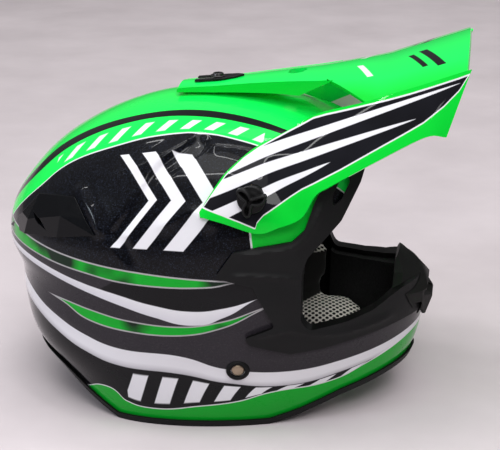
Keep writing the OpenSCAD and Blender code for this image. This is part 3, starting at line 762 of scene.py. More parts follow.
FINISHES = {"shell_paint": shell_paint(), "peak_paint": peak_paint()}
for make, name, colour, *how in (
        (moulded, "edging", (24, 24, 25), 0.55, 1200, 0.06),
        # The surround's inner faces near black: painted shade inside the eye port
        (moulded, "surround_plastic", (25, 25, 26), 0.5, 1900, 0.09, 0.35, (8, 8, 8)),
        (moulded, "guard_plastic", (20, 20, 19), 0.5, 1900, 0.09),
        (moulded, "grille_plastic", (22, 22, 23), 0.5),
        (moulded, "vent_plastic", (9, 10, 13), 0.2, 1600, 0.02, 0.2),
        (moulded, "knob_plastic", (24, 24, 25), 0.42, 1500, 0.05, 0.5),
        (moulded, "snap_plastic", (20, 20, 21), 0.4),
        (moulded, "bushing_plastic", (26, 26, 27), 0.45),
        (moulded, "washer_rubber", (18, 18, 19), 0.6, 1200),
        (bead_foam, "foam", (17, 17, 18)),
        (knit, "liner_cloth", (30, 30, 32)),
        (knit, "neck_cloth", (32, 32, 34)),
        (netting, "pad_cloth", (26, 25, 24)),
        (woven, "webbing", (30, 30, 33)),
        (metal, "insert_brass", (186, 150, 86), 0.4),
        (metal, "screw_steel", (92, 90, 90), 0.32),
        (metal, "rivet_steel", (178, 160, 138), 0.42),
        (metal, "plate_steel", (150, 150, 152), 0.4),
        (metal, "ring_steel", (190, 190, 192), 0.25)):
    FINISHES[name] = make(name, linear(*colour), *how)


def finish_piece(obj, body, node, slot):
    """Hangs a piece on its body, in place of a node, with its finish."""
    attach(obj, body)
    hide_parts(node)
    obj.data.materials.clear()
    obj.data.materials.append(FINISHES[slot])


# Sculpted lines of the shell
def roll(p):
    """Points as x and arc about a line through the ears."""
    return np.stack([p[:, 0], ROLL_MM * np.degrees(np.arctan2(np.abs(p[:, 1]), p[:, 2] - ROLL_Z))], 1)


def rolled(line):
    """Smooth line from points given as x and roll angle."""
    return spline([(x, ROLL_MM * a) for x, a in line], 6)


def line_distance(q, line):
    """Distance of points from a line, and how far along it they lie from 0 to 1."""
    pts = np.asarray(line, float)
    lengths = np.linalg.norm(np.diff(pts, axis=0), axis=1)
    best, share, run = np.full(len(q), np.inf), np.zeros(len(q)), 0.0
    for a, b, length in zip(pts[:-1], pts[1:], lengths):
        t = np.clip((q - a) @ (b - a) / length ** 2, 0, 1)
        d = np.linalg.norm(q - a - t[:, None] * (b - a), axis=1)
        near = d < best
        best = np.where(near, d, best)
        share = np.where(near, (run + t * length) / lengths.sum(), share)
        run += length
    return best, share


def ridge(q, line, height, width, power, start=0.18, end=0.18):
    """Height of a ridge along a line, which rises and falls over a share of its length at each end."""
    d, share = line_distance(q, line)
    return height * np.maximum(0, 1 - d / width) ** power * step(0, start, share) * step(0, end, 1 - share)


GROOVE = rolled([(-7, 29.3), (-15, 34.7), (-36, 41.9), (-46, 48.5), (-56, 55.1), (-66, 60.5), (-67, 62.8),
                 (-55, 70.4), (-46, 75)])
GROOVE_DEPTH, GROOVE_HALF, GROOVE_TAPER = 2.6, 5.4, 2.4
# Lines with their height and half width
RIDGES = [
    (rolled([(-66, 43), (-43, 38), (-25, 33.7), (-13, 29.6)]), 2.8, 11),
    (rolled([(-8, 33.6), (7, 33.1), (28, 33.5), (50, 35)]), 2.6, 11),
    (rolled([(-106, 43), (-99, 49.2), (-87, 56.4), (-80, 64)]), 2.4, 10),
    (rolled([(-40, 60), (-28, 57.6), (-13, 54), (-4, 55), (10, 59)]), 2.2, 10)]
BELT_RIDGE = spline([(-165, 100), (-110, 84), (-60, 72), (0, 66), (60, 66), (110, 72), (150, 84)], 4)


def shell_relief(p):
    q = roll(p)
    d, share = line_distance(q, GROOVE)
    half = GROOVE_HALF - GROOVE_TAPER * share
    ends = step(0, 0.06, share) * step(0, 0.3, 1 - share)
    out = -GROOVE_DEPTH * (1 - step(half - 1, half + 3, d)) * ends
    out = out + sum(ridge(q, *line, 1.6) for line in RIDGES)
    return out + ridge(p[:, [0, 2]], BELT_RIDGE, 1.4, 16, 1.6, 0.1, 0.05)


RIM_LINE = np.array([(-235, 60), (-130, 36), (-103, 17), (-77, 0), (45, 0), (69, 8), (99, 21), (133, 30),
                     (225, 50.0)])
RIM_WALL, RIM_EDGE, RIM_TOP = 2, 3, 5.5


def above(up):
    """Side view of all that lies over the rim's line, moved up."""
    return np.vstack([RIM_LINE + [0, up], [(225, FAR), (-235, FAR)]])


PORT = [(71, 98), (71, 136), (75, 148), (98, 173), (110, 198), (115, 218), (275, 218), (275, 106),
        (144, 107), (136, 104), (123, 97), (104, 92), (86, 90), (76, 89)]
SURROUND = [(8, 136), (21, 155), (37, 158), (63, 161), (72, 169), (78, 188), (90, 214), (101, 232),
            (275, 234), (275, 88), (147, 81), (120, 77), (86, 71), (63, 69), (33, 79), (29, 85), (52, 94),
            (36, 128)]
PORT_LINE = fillet(PORT, 9)
PORT_FLANGE = 4
MOUTH = ((87, -20, 74), (FAR, 20, 96))


def cut_port(obj):
    """Opens a piece for the flange of the eye port."""
    cut(obj, prism(grow(PORT_LINE, PORT_FLANGE + SEAT_GAP)))


# Outer shell
shell = skin("shell", 0, -SHELL_WALL, shell_relief)
keep(shell, prism(above(RIM_EDGE)))
cut_port(shell)
cut(shell, box(*MOUTH))
REAR_HOLE = [(-145, 158), (-133, 172), (-115, 174), (-105, 164)]
cut_sides(shell, REAR_HOLE)
smooth(shell)
finish_piece(shell, "helmet", "outer_shell", "shell_paint")

# Rubber edging with a rounded lip
SHELL_SEAT = -SHELL_WALL - SEAT_GAP
rim = skin("rim_edging", SEAT_GAP + RIM_WALL, SHELL_SEAT - RIM_WALL)
keep(rim, prism(above(0)))
cut(rim, prism(above(RIM_TOP)), keep(skin("channel", SEAT_GAP, SHELL_SEAT), prism(above(RIM_EDGE))))
smooth(rim, 40)
finish_piece(rim, "helmet", "rim_trim", "edging")

# Eye port surround, with moulded ribs
SURROUND_RIBS = [(spline([(16, 137), (32, 137), (58, 134), (70, 130)], 4), 1.6, 4),
                 (spline([(31, 86), (48, 90), (63, 92), (80, 86), (104, 84), (140, 89)], 4), 1.8, 6),
                 (spline([(20, 153), (40, 154), (64, 157), (76, 170), (84, 190)], 4), 1.5, 4)]


def surround_relief(p):
    return sum(ridge(p[:, [0, 2]], *rib, 1.5, 0.12, 0.12) for rib in SURROUND_RIBS)


SURROUND_OUT, FLANGE_IN = 3.8, -7
surround = skin("surround", SURROUND_OUT, SEAT_GAP, surround_relief)
keep(surround, prism(fillet(SURROUND, 3)))
weld(surround, keep(skin("flange", SURROUND_OUT, FLANGE_IN), prism(grow(PORT_LINE, PORT_FLANGE))))
cut(surround, prism(PORT_LINE), box(*MOUTH))
FOREHEAD_SLOT = [(91, 184), (97, 188), (102, 199), (101, 205), (95, 202), (91, 192)]
cut_sides(surround, fillet(FOREHEAD_SLOT, 3))
smooth(surround, 32)
finish_piece(surround, "helmet", "eye_port_surround", "surround_plastic")

# Peak: the same lines as the solid, drawn finely
CENTRE = np.array([(-49, 256.5), (-13, 260), (49, 269), (71, 272), (121, 281.5), (155, 293.5), (187, 304.3)])
RIDGE = np.array([(-49, 60, 224), (-13, 66, 231), (36, 78, 241), (80, 80, 255), (116, 83, 266),
                  (155, 84.5, 280), (187, 85, 292)])
ARM_LOW = np.array([(-3, 122, 182.5), (15, 121.5, 178), (39, 119.5, 171), (55, 118, 176), (71.5, 115, 183.7),
                    (81, 113, 200.5), (92, 111, 208), (125, 105, 227), (158, 101, 245), (173, 98, 245)])
ARM_HIGH = np.array([(-4, 120, 185.5), (4.5, 114, 200), (13, 107, 212.5), (23.5, 97, 222), (34, 89, 229.5),
                     (56, 82.5, 241), (79, 80, 254.5), (116, 83, 266), (159, 84.6, 281.5), (188, 85, 292.3)])
ARM_BULGE = np.array([0, 2, 4, 5, 4, 4, 3, 2, 1, 0])
PEAK_WALL = 3.0
PEAK_REAR_MIDDLE, PEAK_REAR_SIDE, PEAK_FRONT = 55, 113, 186
TONGUE = (-43, 79)
TONGUE_WALL = 4
TONGUE_HALF, TONGUE_FLARE = 17, 19
TONGUE_VENT = both_halves([(45, -6), (49, -10), (56, -9), (60, 0)])
# Depth of the walls along the tongue's edges, and their lean
WALL_DEPTH = np.array([(-43, 3), (-10, 5), (40, 9), (58, 11), (84, 1.0)])
WALL_LEAN = 0.12
BUSHING_HOLE = 8.3
SLOT_R, SLOT_END, SLOT_SLIDE = 5, -13, 7.5


def crown_z(x, y):
    c = np.interp(x, CENTRE[:, 0], CENTRE[:, 1])
    ry = np.interp(x, RIDGE[:, 0], RIDGE[:, 1])
    rz = np.interp(x, RIDGE[:, 0], RIDGE[:, 2])
    return c - (c - rz) * (y / ry) ** 2


def tongue_half(x):
    f = np.maximum(0, (x - TONGUE[0]) / (TONGUE[1] - TONGUE[0]))
    return TONGUE_HALF + TONGUE_FLARE * f * f


def sheet(grid, wall, name="sheet"):
    """Sheet through a grid of points, thickened down along its normals."""
    normal = unit(np.cross(np.gradient(grid, axis=0), np.gradient(grid, axis=1)))
    verts = np.concatenate([grid, grid - wall * normal]).reshape(-1, 3)
    low = len(verts) // 2
    k = np.arange(low).reshape(grid.shape[:2])
    upper = np.stack([k[:-1, :-1], k[1:, :-1], k[1:, 1:], k[:-1, 1:]], 2).reshape(-1, 4)
    edge = np.concatenate([k[0, :-1], k[:-1, -1], k[-1, :0:-1], k[:0:-1, 0]])
    after = np.roll(edge, -1)
    sides = np.stack([edge, after, after + low, edge + low], 1)
    return new_object(name, verts, np.vstack([upper, upper[:, ::-1] + low, sides]).tolist())


def crown_sheet(x, y, wall, name="sheet"):
    return sheet(np.stack([x, y, crown_z(x, y)], 2), wall, name)


across = np.linspace(-1, 1, 49)
along = np.linspace(0, 1, 25)[:, None]
rear = PEAK_REAR_MIDDLE + (PEAK_REAR_SIDE - PEAK_REAR_MIDDLE) * np.abs(across)
peak_x = rear * (1 - along) + (PEAK_FRONT - across * across) * along
peak = crown_sheet(peak_x, across * np.interp(peak_x, RIDGE[:, 0], RIDGE[:, 1]), PEAK_WALL, "peak_shell")
tongue_x = np.linspace(*TONGUE, 33)[:, None] + np.zeros((1, 17))
weld(peak, crown_sheet(tongue_x, tongue_half(tongue_x) * np.linspace(-1, 1, 17), TONGUE_WALL))
low_edge, high_edge, bulge = spline(ARM_LOW, 6), spline(ARM_HIGH, 6), spline(ARM_BULGE[:, None], 6)
up = np.linspace(0, 1, 17)
arm = low_edge[:, None, :] * (1 - up)[None, :, None] + high_edge[:, None, :] * up[None, :, None]
arm[:, :, 1] += 4 * bulge * up * (1 - up)
arm[:, :, 1] *= -1
right_arm = sheet(arm, PEAK_WALL, "arm")
left_arm = mirror_copy(right_arm, "arm_left")
weld(peak, right_arm, left_arm)
wall_x = np.linspace(WALL_DEPTH[0, 0], WALL_DEPTH[-1, 0], 60)
depth = np.interp(wall_x, *WALL_DEPTH.T)
for side in (-1, 1):
    wall_y = tongue_half(np.minimum(wall_x, TONGUE[1])) * side
    top = crown_z(wall_x, wall_y)
    levels = (np.full(len(depth), 0.4), depth * 0.5, depth)
    wall = np.stack([np.stack([wall_x, wall_y + side * WALL_LEAN * d, top - d], 1) for d in levels], 1)
    weld(peak, sheet(wall if side < 0 else wall[:, ::-1], PEAK_WALL))
slot = np.array(circle((SLOT_END, 0), SLOT_R))
slot[CIRCLE_SIDES // 4 + 1:CIRCLE_SIDES * 3 // 4 + 1, 0] -= SLOT_SLIDE
cut(peak, prism(circle(KNOB_AT, BUSHING_HOLE)))
cut(peak, prism(fillet(TONGUE_VENT, 1), axis="z"), prism(slot, axis="z"))
smooth(peak, 28)
finish_piece(peak, "peak", "peak", "peak_paint")


# Rear vent covers: raised facets
def surface(x, z, out, side):
    """Point over the shell's side."""
    return (x, side * (side_y(np.array(x, float), np.array(z, float)) + out), z)


VENT_EDGE = [(-178, 143), (-160, 161), (-143, 179), (-124, 183), (-106, 185), (-95, 172), (-86, 161),
             (-120, 154), (-155, 147)]
VENT_SEAT, VENT_RIM = 0.4, 2.4
VENT_TOP = [(-150, 161, 6.5), (-116, 172, 8)]
VENT_SLOT = [(-145.5, 167), (-139, 159.5), (-131, 156.5), (-137.5, 164.5)]


def rear_vent(side, name):
    n = len(VENT_EDGE)
    verts = [surface(x, z, out, side) for out in (VENT_SEAT, VENT_RIM) for x, z in VENT_EDGE]
    verts += [surface(x, z, out, side) for x, z, out in VENT_TOP]
    a, b = 2 * n, 2 * n + 1
    near = [a, a, a, b, b, b, b, b, a]
    faces = [(i, (i + 1) % n, n + (i + 1) % n, n + i) for i in range(n)]
    for i in range(n):
        k = (i + 1) % n
        faces.append((n + i, n + k, near[i]))
        if near[i] != near[k]:
            faces.append((n + k, near[k], near[i]))
    faces.append(tuple(range(n - 1, -1, -1)))
    obj = cut(face_out(new_object(name, verts, faces)), prism(VENT_SLOT))
    bevel(obj, 0.6, 12)
    return obj


for side, name in SIDES:
    vent = rear_vent(side, "vent_cover_" + name)
    finish_piece(vent, "helmet", "rear_vent_" + name, "vent_plastic")

# Foam inside the shell
CAVITY_AT = np.array([-35.0, 0, 130])
CAVITY = np.array([116.0, 82, 82])
NECK = 180
LINER_WALL = 9


def cavity_mesh(name, out, relief=None):
    """Inner volume for the head: a dome over a straight neck."""
    cols, dome, neck = 144, 36, 20
    size = CAVITY + out
    rise = np.pi / 2 * np.arange(dome) / dome
    lift = np.concatenate([np.linspace(-NECK, 0, neck, endpoint=False), size[2] * np.sin(rise)])
    wide = np.concatenate([np.ones(neck), np.cos(rise)])
    u = 2 * np.pi * np.arange(cols) / cols
    p = np.stack([np.outer(wide, size[0] * np.cos(u)), np.outer(wide, size[1] * np.sin(u)),
                  np.outer(lift, np.ones(cols))], 2).reshape(-1, 3)
    if relief:
        way = p * [1, 1, 0] + np.maximum(p, 0) * [0, 0, 1]
        p = p - unit(way) * relief(p + CAVITY_AT)[:, None]
    top = [0, 0, p[:, 2].max() + 0.02]
    return domed(name, p + CAVITY_AT, top + CAVITY_AT, CAVITY_AT - [0, 0, NECK], neck + dome, cols)


FOAM = [(-235, 88), (-175, 75), (-130, 64), (-103, 48), (-65, 36), (-13, 36), (-13, 82), (61, 108),
        (71, 124), (225, 124), (225, 272), (-235, 272)]
LINER = [(-235, 96), (-130, 80), (-65, 52), (-17, 50), (-17, 92), (55, 114), (61, 124), (225, 124),
         (225, 272), (-235, 272)]
CHIN = [(73, 23), (105, 38), (145, 48), (225, 68), (225, 132), (73, 132)]
CHIN_FOAM = 10
# Bores in the foam for the inserts: radius, and how far out they start
KNOB_BORE, KNOB_BORE_FROM = 7, 95
CROWN_BORE, CROWN_BORE_FROM = 8, 228

foam = form_mesh("crown_foam_liner", SHELL_SEAT, COARSE_GRID)
keep(foam, prism(fillet(FOAM, 4)))
cut(foam, cavity_mesh("head", LINER_WALL + SEAT_GAP))
cut_port(foam)
cut_sides(foam, circle(KNOB_AT, KNOB_BORE), KNOB_BORE_FROM)
cut(foam, prism(circle(CROWN_AT, CROWN_BORE), CROWN_BORE_FROM, axis="z"))
finish_piece(smooth(foam), "helmet", "crown_foam", "foam")

chin_foam = skin("chin_foam", SHELL_SEAT, SHELL_SEAT - CHIN_FOAM)
keep(chin_foam, prism(fillet(CHIN, 4)))
cut_port(chin_foam)
cut(chin_foam, box(*MOUTH))
finish_piece(smooth(chin_foam), "helmet", "chin_foam_block", "foam")

# Comfort liner, quilted towards the head
QUILT_X, QUILT_Y, QUILT_Z = 62, 26, 132
QUILT_RISE, QUILT_EASE = 2.4, 5.5


def quilt(p):
    """Height of the quilting, with seams across, along and round the head."""
    x, y, z = np.abs(p - [CAVITY_AT[0], 0, QUILT_Z]).T
    d = np.minimum.reduce([np.abs(y - QUILT_Y), np.abs(x - QUILT_X), z])
    return QUILT_RISE * (1 - np.exp(-(d / QUILT_EASE) ** 2))


liner = cavity_mesh("quilted_liner", LINER_WALL)
keep(liner, prism(fillet(LINER, 5)))
cut(liner, cavity_mesh("head", 0, quilt))
cut_port(liner)
finish_piece(smooth(liner, 50), "helmet", "comfort_liner", "liner_cloth")

# Nose guard
GUARD = [(136, 119), (139, 126), (154, 117), (161, 105), (164, 98.5), (159, 94), (168, 88.5), (162.5, 76),
         (132, 72), (136, 96)]
GUARD_FRONT = [(-8, 60), (8, 60), (27, 82), (48, 88), (52, 100), (27, 112), (10, 127), (-10, 127),
               (-27, 112), (-52, 100), (-48, 88), (-27, 82)]
GUARD_PLAN = both_halves([(0, -52), (138, -52), (150, -41), (160, -27), (167, -12), (169, -4)])
GUARD_ROOF = [(0, 2.5), (-52, -17), (-52, -90), (52, -90), (52, -17)]
GUARD_RIDGE = (139, 0, 126)
GUARD_FALL = math.atan2(21, 24)
GUARD_SEAT = 4.4
GUARD_SLOTS = (75, 82, 89)
GUARD_SLOT_HEIGHT, GUARD_SLOT_HALF = 3.5, 10
GUARD_RECESS_FROM = 20
GUARD_RECESS = [(153, 82), (158.5, 82), (160, 88), (154, 90)]
guard = prism(fillet(GUARD, 2.2))
roof = prism(fillet(GUARD_ROOF, 4), axis="x")
roof.data.transform(Matrix.Translation(Vector(GUARD_RIDGE) * MM) @ Matrix.Rotation(GUARD_FALL, 4, "Y"))
keep(guard, prism(fillet(GUARD_FRONT, 4), axis="x"), prism(fillet(GUARD_PLAN, 4), axis="z"), roof)
cut(guard, cut(form_mesh("seat", GUARD_SEAT, COARSE_GRID), prism(grow(PORT_LINE, -SEAT_GAP))))
for z in GUARD_SLOTS:
    cut(guard, box((MOUTH[0][0], -GUARD_SLOT_HALF, z), (FAR, GUARD_SLOT_HALF, z + GUARD_SLOT_HEIGHT)))
cut_sides(guard, fillet(GUARD_RECESS, 1.5), GUARD_RECESS_FROM)
guard.name = "nose_guard_cover"
finish_piece(smooth(guard, 32), "helmet", "nose_guard", "guard_plastic")

# Padded fabric: the solid shrunk a little, then blown up as cloth
PAD_SHRINK = 1.6
PAD_CAP = 5.0
PAD_PRESSURE = 4
RELAX_ROUNDS = 4
PUFF_FRAMES = 20
CLOTH_QUALITY = 5
CHEEK_VOXEL, NECK_VOXEL = 4, 5


def points_of(obj):
    points = np.empty((len(obj.data.vertices), 3))
    obj.data.vertices.foreach_get("co", points.reshape(-1))
    return points


def puffed(node, name, voxel):
    """Copy of a CAD solid that cloth under pressure rounds out, by no more than the cap."""
    obj = add_object(name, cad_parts[node].data.copy())
    obj.data.materials.clear()
    add_modifier(obj, "REMESH", mode="VOXEL", voxel_size=voxel * MM)
    add_modifier(obj, "SMOOTH", iterations=RELAX_ROUNDS)
    add_modifier(obj, "DISPLACE", strength=-PAD_SHRINK * MM, mid_level=0)
    before = points_of(obj)
    cloth = obj.modifiers.new("cloth", "CLOTH")
    cloth.settings.use_pressure = True
    cloth.settings.uniform_pressure_force = PAD_PRESSURE
    cloth.settings.effector_weights.gravity = 0
    cloth.settings.quality = CLOTH_QUALITY
    cloth.point_cache.frame_start = 1
    cloth.point_cache.frame_end = PUFF_FRAMES
    for k in range(1, PUFF_FRAMES + 1):
        scene.frame_set(k)
    apply_modifier(obj, cloth)
    scene.frame_set(1)
    move = points_of(obj) - before
    far = np.maximum(np.linalg.norm(move, axis=1) / (PAD_CAP * MM), 1)
    obj.data.vertices.foreach_set("co", (before + move / far[:, None]).ravel())
    obj.data.update()
    add_modifier(obj, "SUBSURF", levels=1, render_levels=1)
    obj.data.shade_smooth()
    return obj


cheek_right = puffed("cheek_pad_right", "cheek_cushion_right", CHEEK_VOXEL)
cheek_left = mirror_copy(cheek_right, "cheek_cushion_left")
for pad, node in ((cheek_right, "cheek_pad_right"), (cheek_left, "cheek_pad_left")):
    finish_piece(pad, "helmet", node, "pad_cloth")
neck = puffed("neck_roll", "neck_cushion", NECK_VOXEL)
finish_piece(neck, "helmet", "neck_roll", "neck_cloth")

# Chin straps of flat webbing, as distance from the middle and height
STRAP_WIDTH = 24
STRAP_WALL = 2
HANG = [(96.4, 48.5), (96.4, 44.5), (95.2, 32.5), (91.7, 20.5), (84.4, 9.5)]
FREE_END = [(70, 4.4), (50, 4), (42, 7.5), (50, 11), (54, 11), (66, 11)]
RING_END = [(72, 7.2), (63, 7.2)]


def webbing(path, side, name):
    """Flat strip along a path, with rounded edges."""
    p = spline(path, 8)
    d = unit(np.gradient(p, axis=0))
    half, wall = STRAP_WIDTH / 2, STRAP_WALL / 2
    profile = both_halves([(-half, 0.5), (-half + 0.6, 1), (-4, 1), (4, 1), (half - 0.6, 1), (half, 0.5)])
    rings = [[(RIVET_AT[0] + a, side * (y - dz * b * wall), z + dy * b * wall) for a, b in profile]
             for (y, z), (dy, dz) in zip(p, d)]
    return smooth(tube(name, rings), 50)


RING_Y, RING_LOW, RING_PITCH, RING_WIRE = 60, 4.9, 4.6, 2.0
LOOP_SIDES = 40


def ring_loop():
    """End of the webbing, sewn round both rings."""
    inner = RING_WIRE + 0.05
    outer, half = inner + STRAP_WALL, STRAP_WIDTH / 2
    rings = []
    for r, x in ((outer, -half), (outer, half), (inner, half), (inner, -half)):
        ring = np.array([(RIVET_AT[0] + x, y, z) for y, z in circle((RING_Y, RING_LOW), r, LOOP_SIDES)])
        ring[1:LOOP_SIDES // 2 + 1, 2] += RING_PITCH
        rings.append(ring)
    return smooth(tube("ring_loop", rings, True), 50)


strap_right = webbing(HANG + FREE_END, -1, "webbing_right")
finish_piece(strap_right, "strap_right", "chin_strap_right", "webbing")
strap_left = join([webbing(HANG + RING_END, 1, "webbing_left"), ring_loop()], "webbing_left")
finish_piece(strap_left, "strap_left", "chin_strap_left", "webbing")

# Side knobs with three curved wings
KNOB_R = 10.5
KNOB_BASE = 119.09
WING_REACH = KNOB_R * 1.2
WING_HEIGHT = 6.5
WING_TURN = 5
STAR_WAIST = 2.6
WING_CURL = 0.3
RIM_HALF, RIM_FOOT = 0.95, 2.0
KNOB_DISC = [(4, -26), (4, 0), (KNOB_R - 0.6, 0), (KNOB_R, 0.5), (KNOB_R, 1.9), (KNOB_R - 0.6, 2.5),
             (7.5, 2.5), (6.5, 3.2), (4.4, 3.4)]


def lathe(profile):
    """Rings of radius and height about z."""
    return tube("lathe", [[(x, y, h) for x, y in circle((0, 0), r)] for r, h in profile])


def sideways(obj, at, base, side):
    """Lays an object that stands on z out of the helmet's side."""
    for v in obj.data.vertices:
        x, y, z = v.co
        v.co = (at[0] * MM + x, side * (base * MM + z), at[1] * MM + y)
    return smooth(face_out(obj), 40)


def star_rim():
    """Raised rim along a three-pointed star with hollow sides."""
    count, arc = 120, np.linspace(0, math.pi, 9)
    t = np.arange(count) / count * math.tau
    r = STAR_WAIST + (WING_REACH - RIM_HALF - STAR_WAIST) * np.abs(np.cos(1.5 * t)) ** 4
    turn = t + math.radians(WING_TURN) + WING_CURL * (r / WING_REACH) ** 2
    path = np.stack([r * np.cos(turn), r * np.sin(turn)], 1)
    along = np.roll(path, -1, 0) - np.roll(path, 1, 0)
    across = unit(np.stack([along[:, 1], -along[:, 0]], 1))
    tall = RIM_FOOT + 0.4 + WING_HEIGHT * (1 - 0.25 * (r / WING_REACH) ** 3)
    rings = []
    for (x, y), (nx, ny), top in zip(path, across, tall):
        crest = [(RIM_HALF * math.cos(a), top + RIM_HALF * (math.sin(a) - 1)) for a in arc]
        profile = [(RIM_HALF, RIM_FOOT)] + crest + [(-RIM_HALF, RIM_FOOT)]
        rings.append([(x + nx * w, y + ny * w, h) for w, h in profile])
    return tube("star", rings, True)


for side, label in SIDES:
    knob = sideways(join([lathe(KNOB_DISC), star_rim()], "wing_knob_" + label), KNOB_AT, KNOB_BASE, side)
    finish_piece(knob, "knob_" + label, "peak_knob_" + label, "knob_plastic")

# Forked plate on the tongue, and the crown screw through its slot
PLATE = both_halves([(-31, -9), (-8, -9), (3, -5.5), (9, 0)])
PLATE_SLOT = both_halves([(-60, -4.2), (-14, -4.2), (-10, -2.5)])
PLATE_LIFT = (0.3, 1.8)
CROWN_SCREW = [(4, -21), (4, 0), (6.5, 0), (6.5, 0.7), (6.1, 1.0), (4.6, 1.1), (4.3, 2.3), (3.6, 2.8),
               (2.4, 2.8), (2.2, 1.4)]
SCREW_SEAT = 262.3
plate = cut(prism(fillet(PLATE, 1.5), axis="z"), prism(fillet(PLATE_SLOT, 1), axis="z"))
for v in plate.data.vertices:
    v.co.z = (np.interp(v.co.x / MM, CENTRE[:, 0], CENTRE[:, 1]) + PLATE_LIFT[v.co.z > 0]) * MM
plate.name = "slot_plate"
bevel(plate, 0.4)
finish_piece(smooth(plate), "peak", "peak_slot_plate", "knob_plastic")
screw = lathe(CROWN_SCREW)
screw.data.transform(Matrix.Translation(Vector((*CROWN_AT, SCREW_SEAT)) * MM))
screw.name = "crown_button"
finish_piece(smooth(screw, 40), "crown_screw", "crown_screw", "screw_steel")

# Strap rivets with domed heads, each in a raised rubber washer
RIVET_DOME = [(4.95, 0.3), (4.95, 0.9), (4.6, 1.5), (3.6, 2.0), (1.9, 2.4), (0.4, 2.5)]
RIVET_SHANK = [(5, 95.6), (5, 97.2), (3, 97.2), (3, 99.9), (5, 99.9), (5, 103.7), (3, 103.7), (3, 110)]
WASHER_RING = [(5.5, 0.3), (5.5, 1.5), (6, 2.2), (6.9, 2.6), (7.9, 2.4), (8.6, 1.7), (9, 0.7), (9, 0.3)]


def button(profile, side, closed):
    """Rings of radius and height, laid on the shell's side round the rivet."""
    rings = [[surface(x, z, h, side) for x, z in circle(RIVET_AT, r, 40)] for r, h in profile]
    return smooth(tube("button", rings, closed), 40)


rivets = []
for side in (-1, 1):
    rivets += [button(RIVET_DOME, side, False), sideways(lathe(RIVET_SHANK), RIVET_AT, 0, side)]
finish_piece(join(rivets, "domed_rivets"), "helmet", "strap_rivets", "rivet_steel")
washers = [button(WASHER_RING, side, True) for side in (-1, 1)]
finish_piece(join(washers, "raised_washers"), "helmet", "rivet_washers", "washer_rubber")

# Grille of the mouth vent, with fine gauze behind it
grille = add_object("grille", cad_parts["mouth_vent_grille"].data.copy())
GAUZE_OUT, GAUZE_IN = -2.6, -3.2
GAUZE_BOX = ((87, -19, 75), (FAR, 19, 95))
gauze = keep(skin("gauze", GAUZE_OUT, GAUZE_IN), box(*GAUZE_BOX))
finish_piece(join([grille, gauze], "vent_grille"), "helmet", "mouth_vent_grille", "grille_plastic")

# Finishes of the solids that show as they are
SOLIDS = {
    "cheek_pad_snaps": "snap_plastic",
    "side_inserts": "insert_brass",
    "crown_insert": "insert_brass",
    "peak_bushings": "bushing_plastic",
    "knob_washers": "washer_rubber",
    "strap_anchor_right": "plate_steel",
    "strap_anchor_left": "plate_steel",
    "strap_snap": "screw_steel",
    "d_ring_upper": "ring_steel",
    "d_ring_lower": "ring_steel",
}
for node, slot in SOLIDS.items():
    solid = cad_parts[node]
    solid.data.materials.clear()
    solid.data.materials.append(FINISHES[slot])

# Stage, light and camera
FLOOR_HALF = 40000
FLOOR_CORNERS = np.array([(-1, -1, 0), (1, -1, 0), (1, 1, 0), (-1, 1, 0)]) * FLOOR_HALF
floor = new_object("floor", FLOOR_CORNERS, [(0, 1, 2, 3)])


def backdrop():
    """Pale cloth: faint mottling and a fine weave."""
    p = Paint("backdrop")
    tone = p.mix(linear(184, 175, 178), linear(218, 209, 212), p.noise(5, 4, 0.6))
    p.set(base_color=tone, roughness=p.noise(300, 2) * 0.1 + 0.8, specular_ior_level=0.1)
    p.bump(p.noise(1200, 2), 0.2, 0.4)
    return p.material


floor.data.materials.append(backdrop())

camera = add_object("camera", bpy.data.cameras.new("camera"))
AZIMUTH, ELEVATION, DISTANCE = math.radians(10), math.radians(19), 1.03
TARGET = Vector((0.013, 0, 0.136))
FOCAL_PX, PHOTO_PX, SENSOR = 1226, 500, 36
level = math.cos(ELEVATION)
away = Vector((math.sin(AZIMUTH) * level, -math.cos(AZIMUTH) * level, math.sin(ELEVATION)))
camera.location = TARGET + away * DISTANCE
camera.rotation_euler = (-away).to_track_quat("-Z", "Y").to_euler()
camera.data.lens = SENSOR * FOCAL_PX / PHOTO_PX
camera.data.sensor_width = SENSOR
camera.data.sensor_fit = "HORIZONTAL"
camera.data.clip_start = 0.05
scene.camera = camera


def area_light(name, place, target, size, energy, colour=(1, 1, 1)):
    data = bpy.data.lights.new(name, "AREA")
    data.shape = "RECTANGLE"
    data.size, data.size_y = size
    data.energy = energy
    data.color = colour
    obj = add_object(name, data)
    obj.location = place
    obj.rotation_euler = (Vector(target) - Vector(place)).to_track_quat("-Z", "Y").to_euler()
    return obj


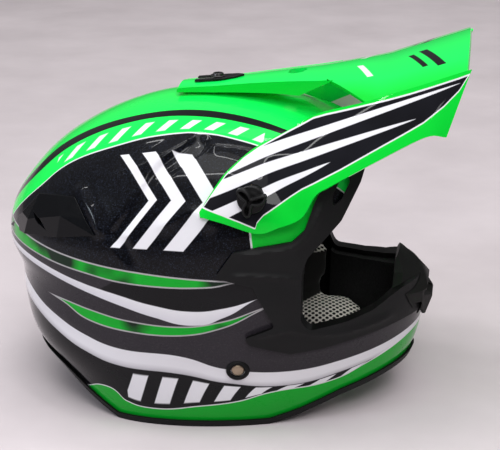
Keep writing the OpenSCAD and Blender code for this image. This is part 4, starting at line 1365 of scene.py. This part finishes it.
WINDOW_BLUE = (0.8, 0.9, 1.0)
area_light("top_box", (0.1, -0.4, 1.6), (0, 0, 0.12), (1.1, 0.8), 4)
area_light("tube_near", (0, -0.9, 1.5), (0, 0, 0.15), (1.8, 0.03), 4)
area_light("tube_far", (0, 0.2, 1.7), (0, 0, 0.15), (1.8, 0.035), 4)
area_light("front_fill", (0.35, -1.0, 0.95), (0.08, 0, 0.09), (0.5, 0.3), 5)
area_light("rear_window", (-1.2, -0.8, 0.6), (0, 0, 0.15), (0.25, 0.5), 5, WINDOW_BLUE)
wash = area_light("back_wash", (0, 1.6, 1.3), (0, 1.3, 0), (1.6, 0.6), 4)
wash.visible_glossy = False
# Tubes that lie flat: place, turn in degrees, length and power
TUBE_WIDTH = 0.022
CEILING_TUBES = {"tube_left": ((-0.74, -0.24, 1.5), 42, 0.95, 3),
                 "tube_mid": ((-0.09, -0.16, 1.5), -34, 0.42, 1.8)}
for name, (place, turn, length, energy) in CEILING_TUBES.items():
    tube_light = area_light(name, place, (place[0], place[1], 0), (length, TUBE_WIDTH), energy)
    tube_light.rotation_euler = (0, 0, math.radians(turn))
CEILING_POWER, CEILING_SPREAD, CEILING_LEAN = 1.1, 60, 8
ceiling = add_object("ceiling", bpy.data.lights.new("ceiling", "SUN"))
ceiling.data.energy = CEILING_POWER
ceiling.data.angle = math.radians(CEILING_SPREAD)
ceiling.rotation_euler = (math.radians(CEILING_LEAN), math.radians(CEILING_LEAN), 0)

SKY = ((0.08, (0.09, 0.087, 0.09, 1)), (0.62, (0.33, 0.325, 0.33, 1)))


def studio_world():
    """Soft light from above, dimmer towards the walls."""
    world = bpy.data.worlds.new("studio")
    world.use_nodes = True
    tree = world.node_tree
    place = tree.nodes.new("ShaderNodeTexCoord")
    split = tree.nodes.new("ShaderNodeSeparateXYZ")
    ramp = tree.nodes.new("ShaderNodeValToRGB")
    tree.links.new(place.outputs["Generated"], split.inputs[0])
    tree.links.new(split.outputs[2], ramp.inputs[0])
    for element, (position, colour) in zip(ramp.color_ramp.elements, SKY):
        element.position = position
        element.color = colour
    tree.links.new(ramp.outputs[0], tree.nodes["Background"].inputs[0])
    return world


scene.world = studio_world()
scene.view_settings.view_transform = "Standard"
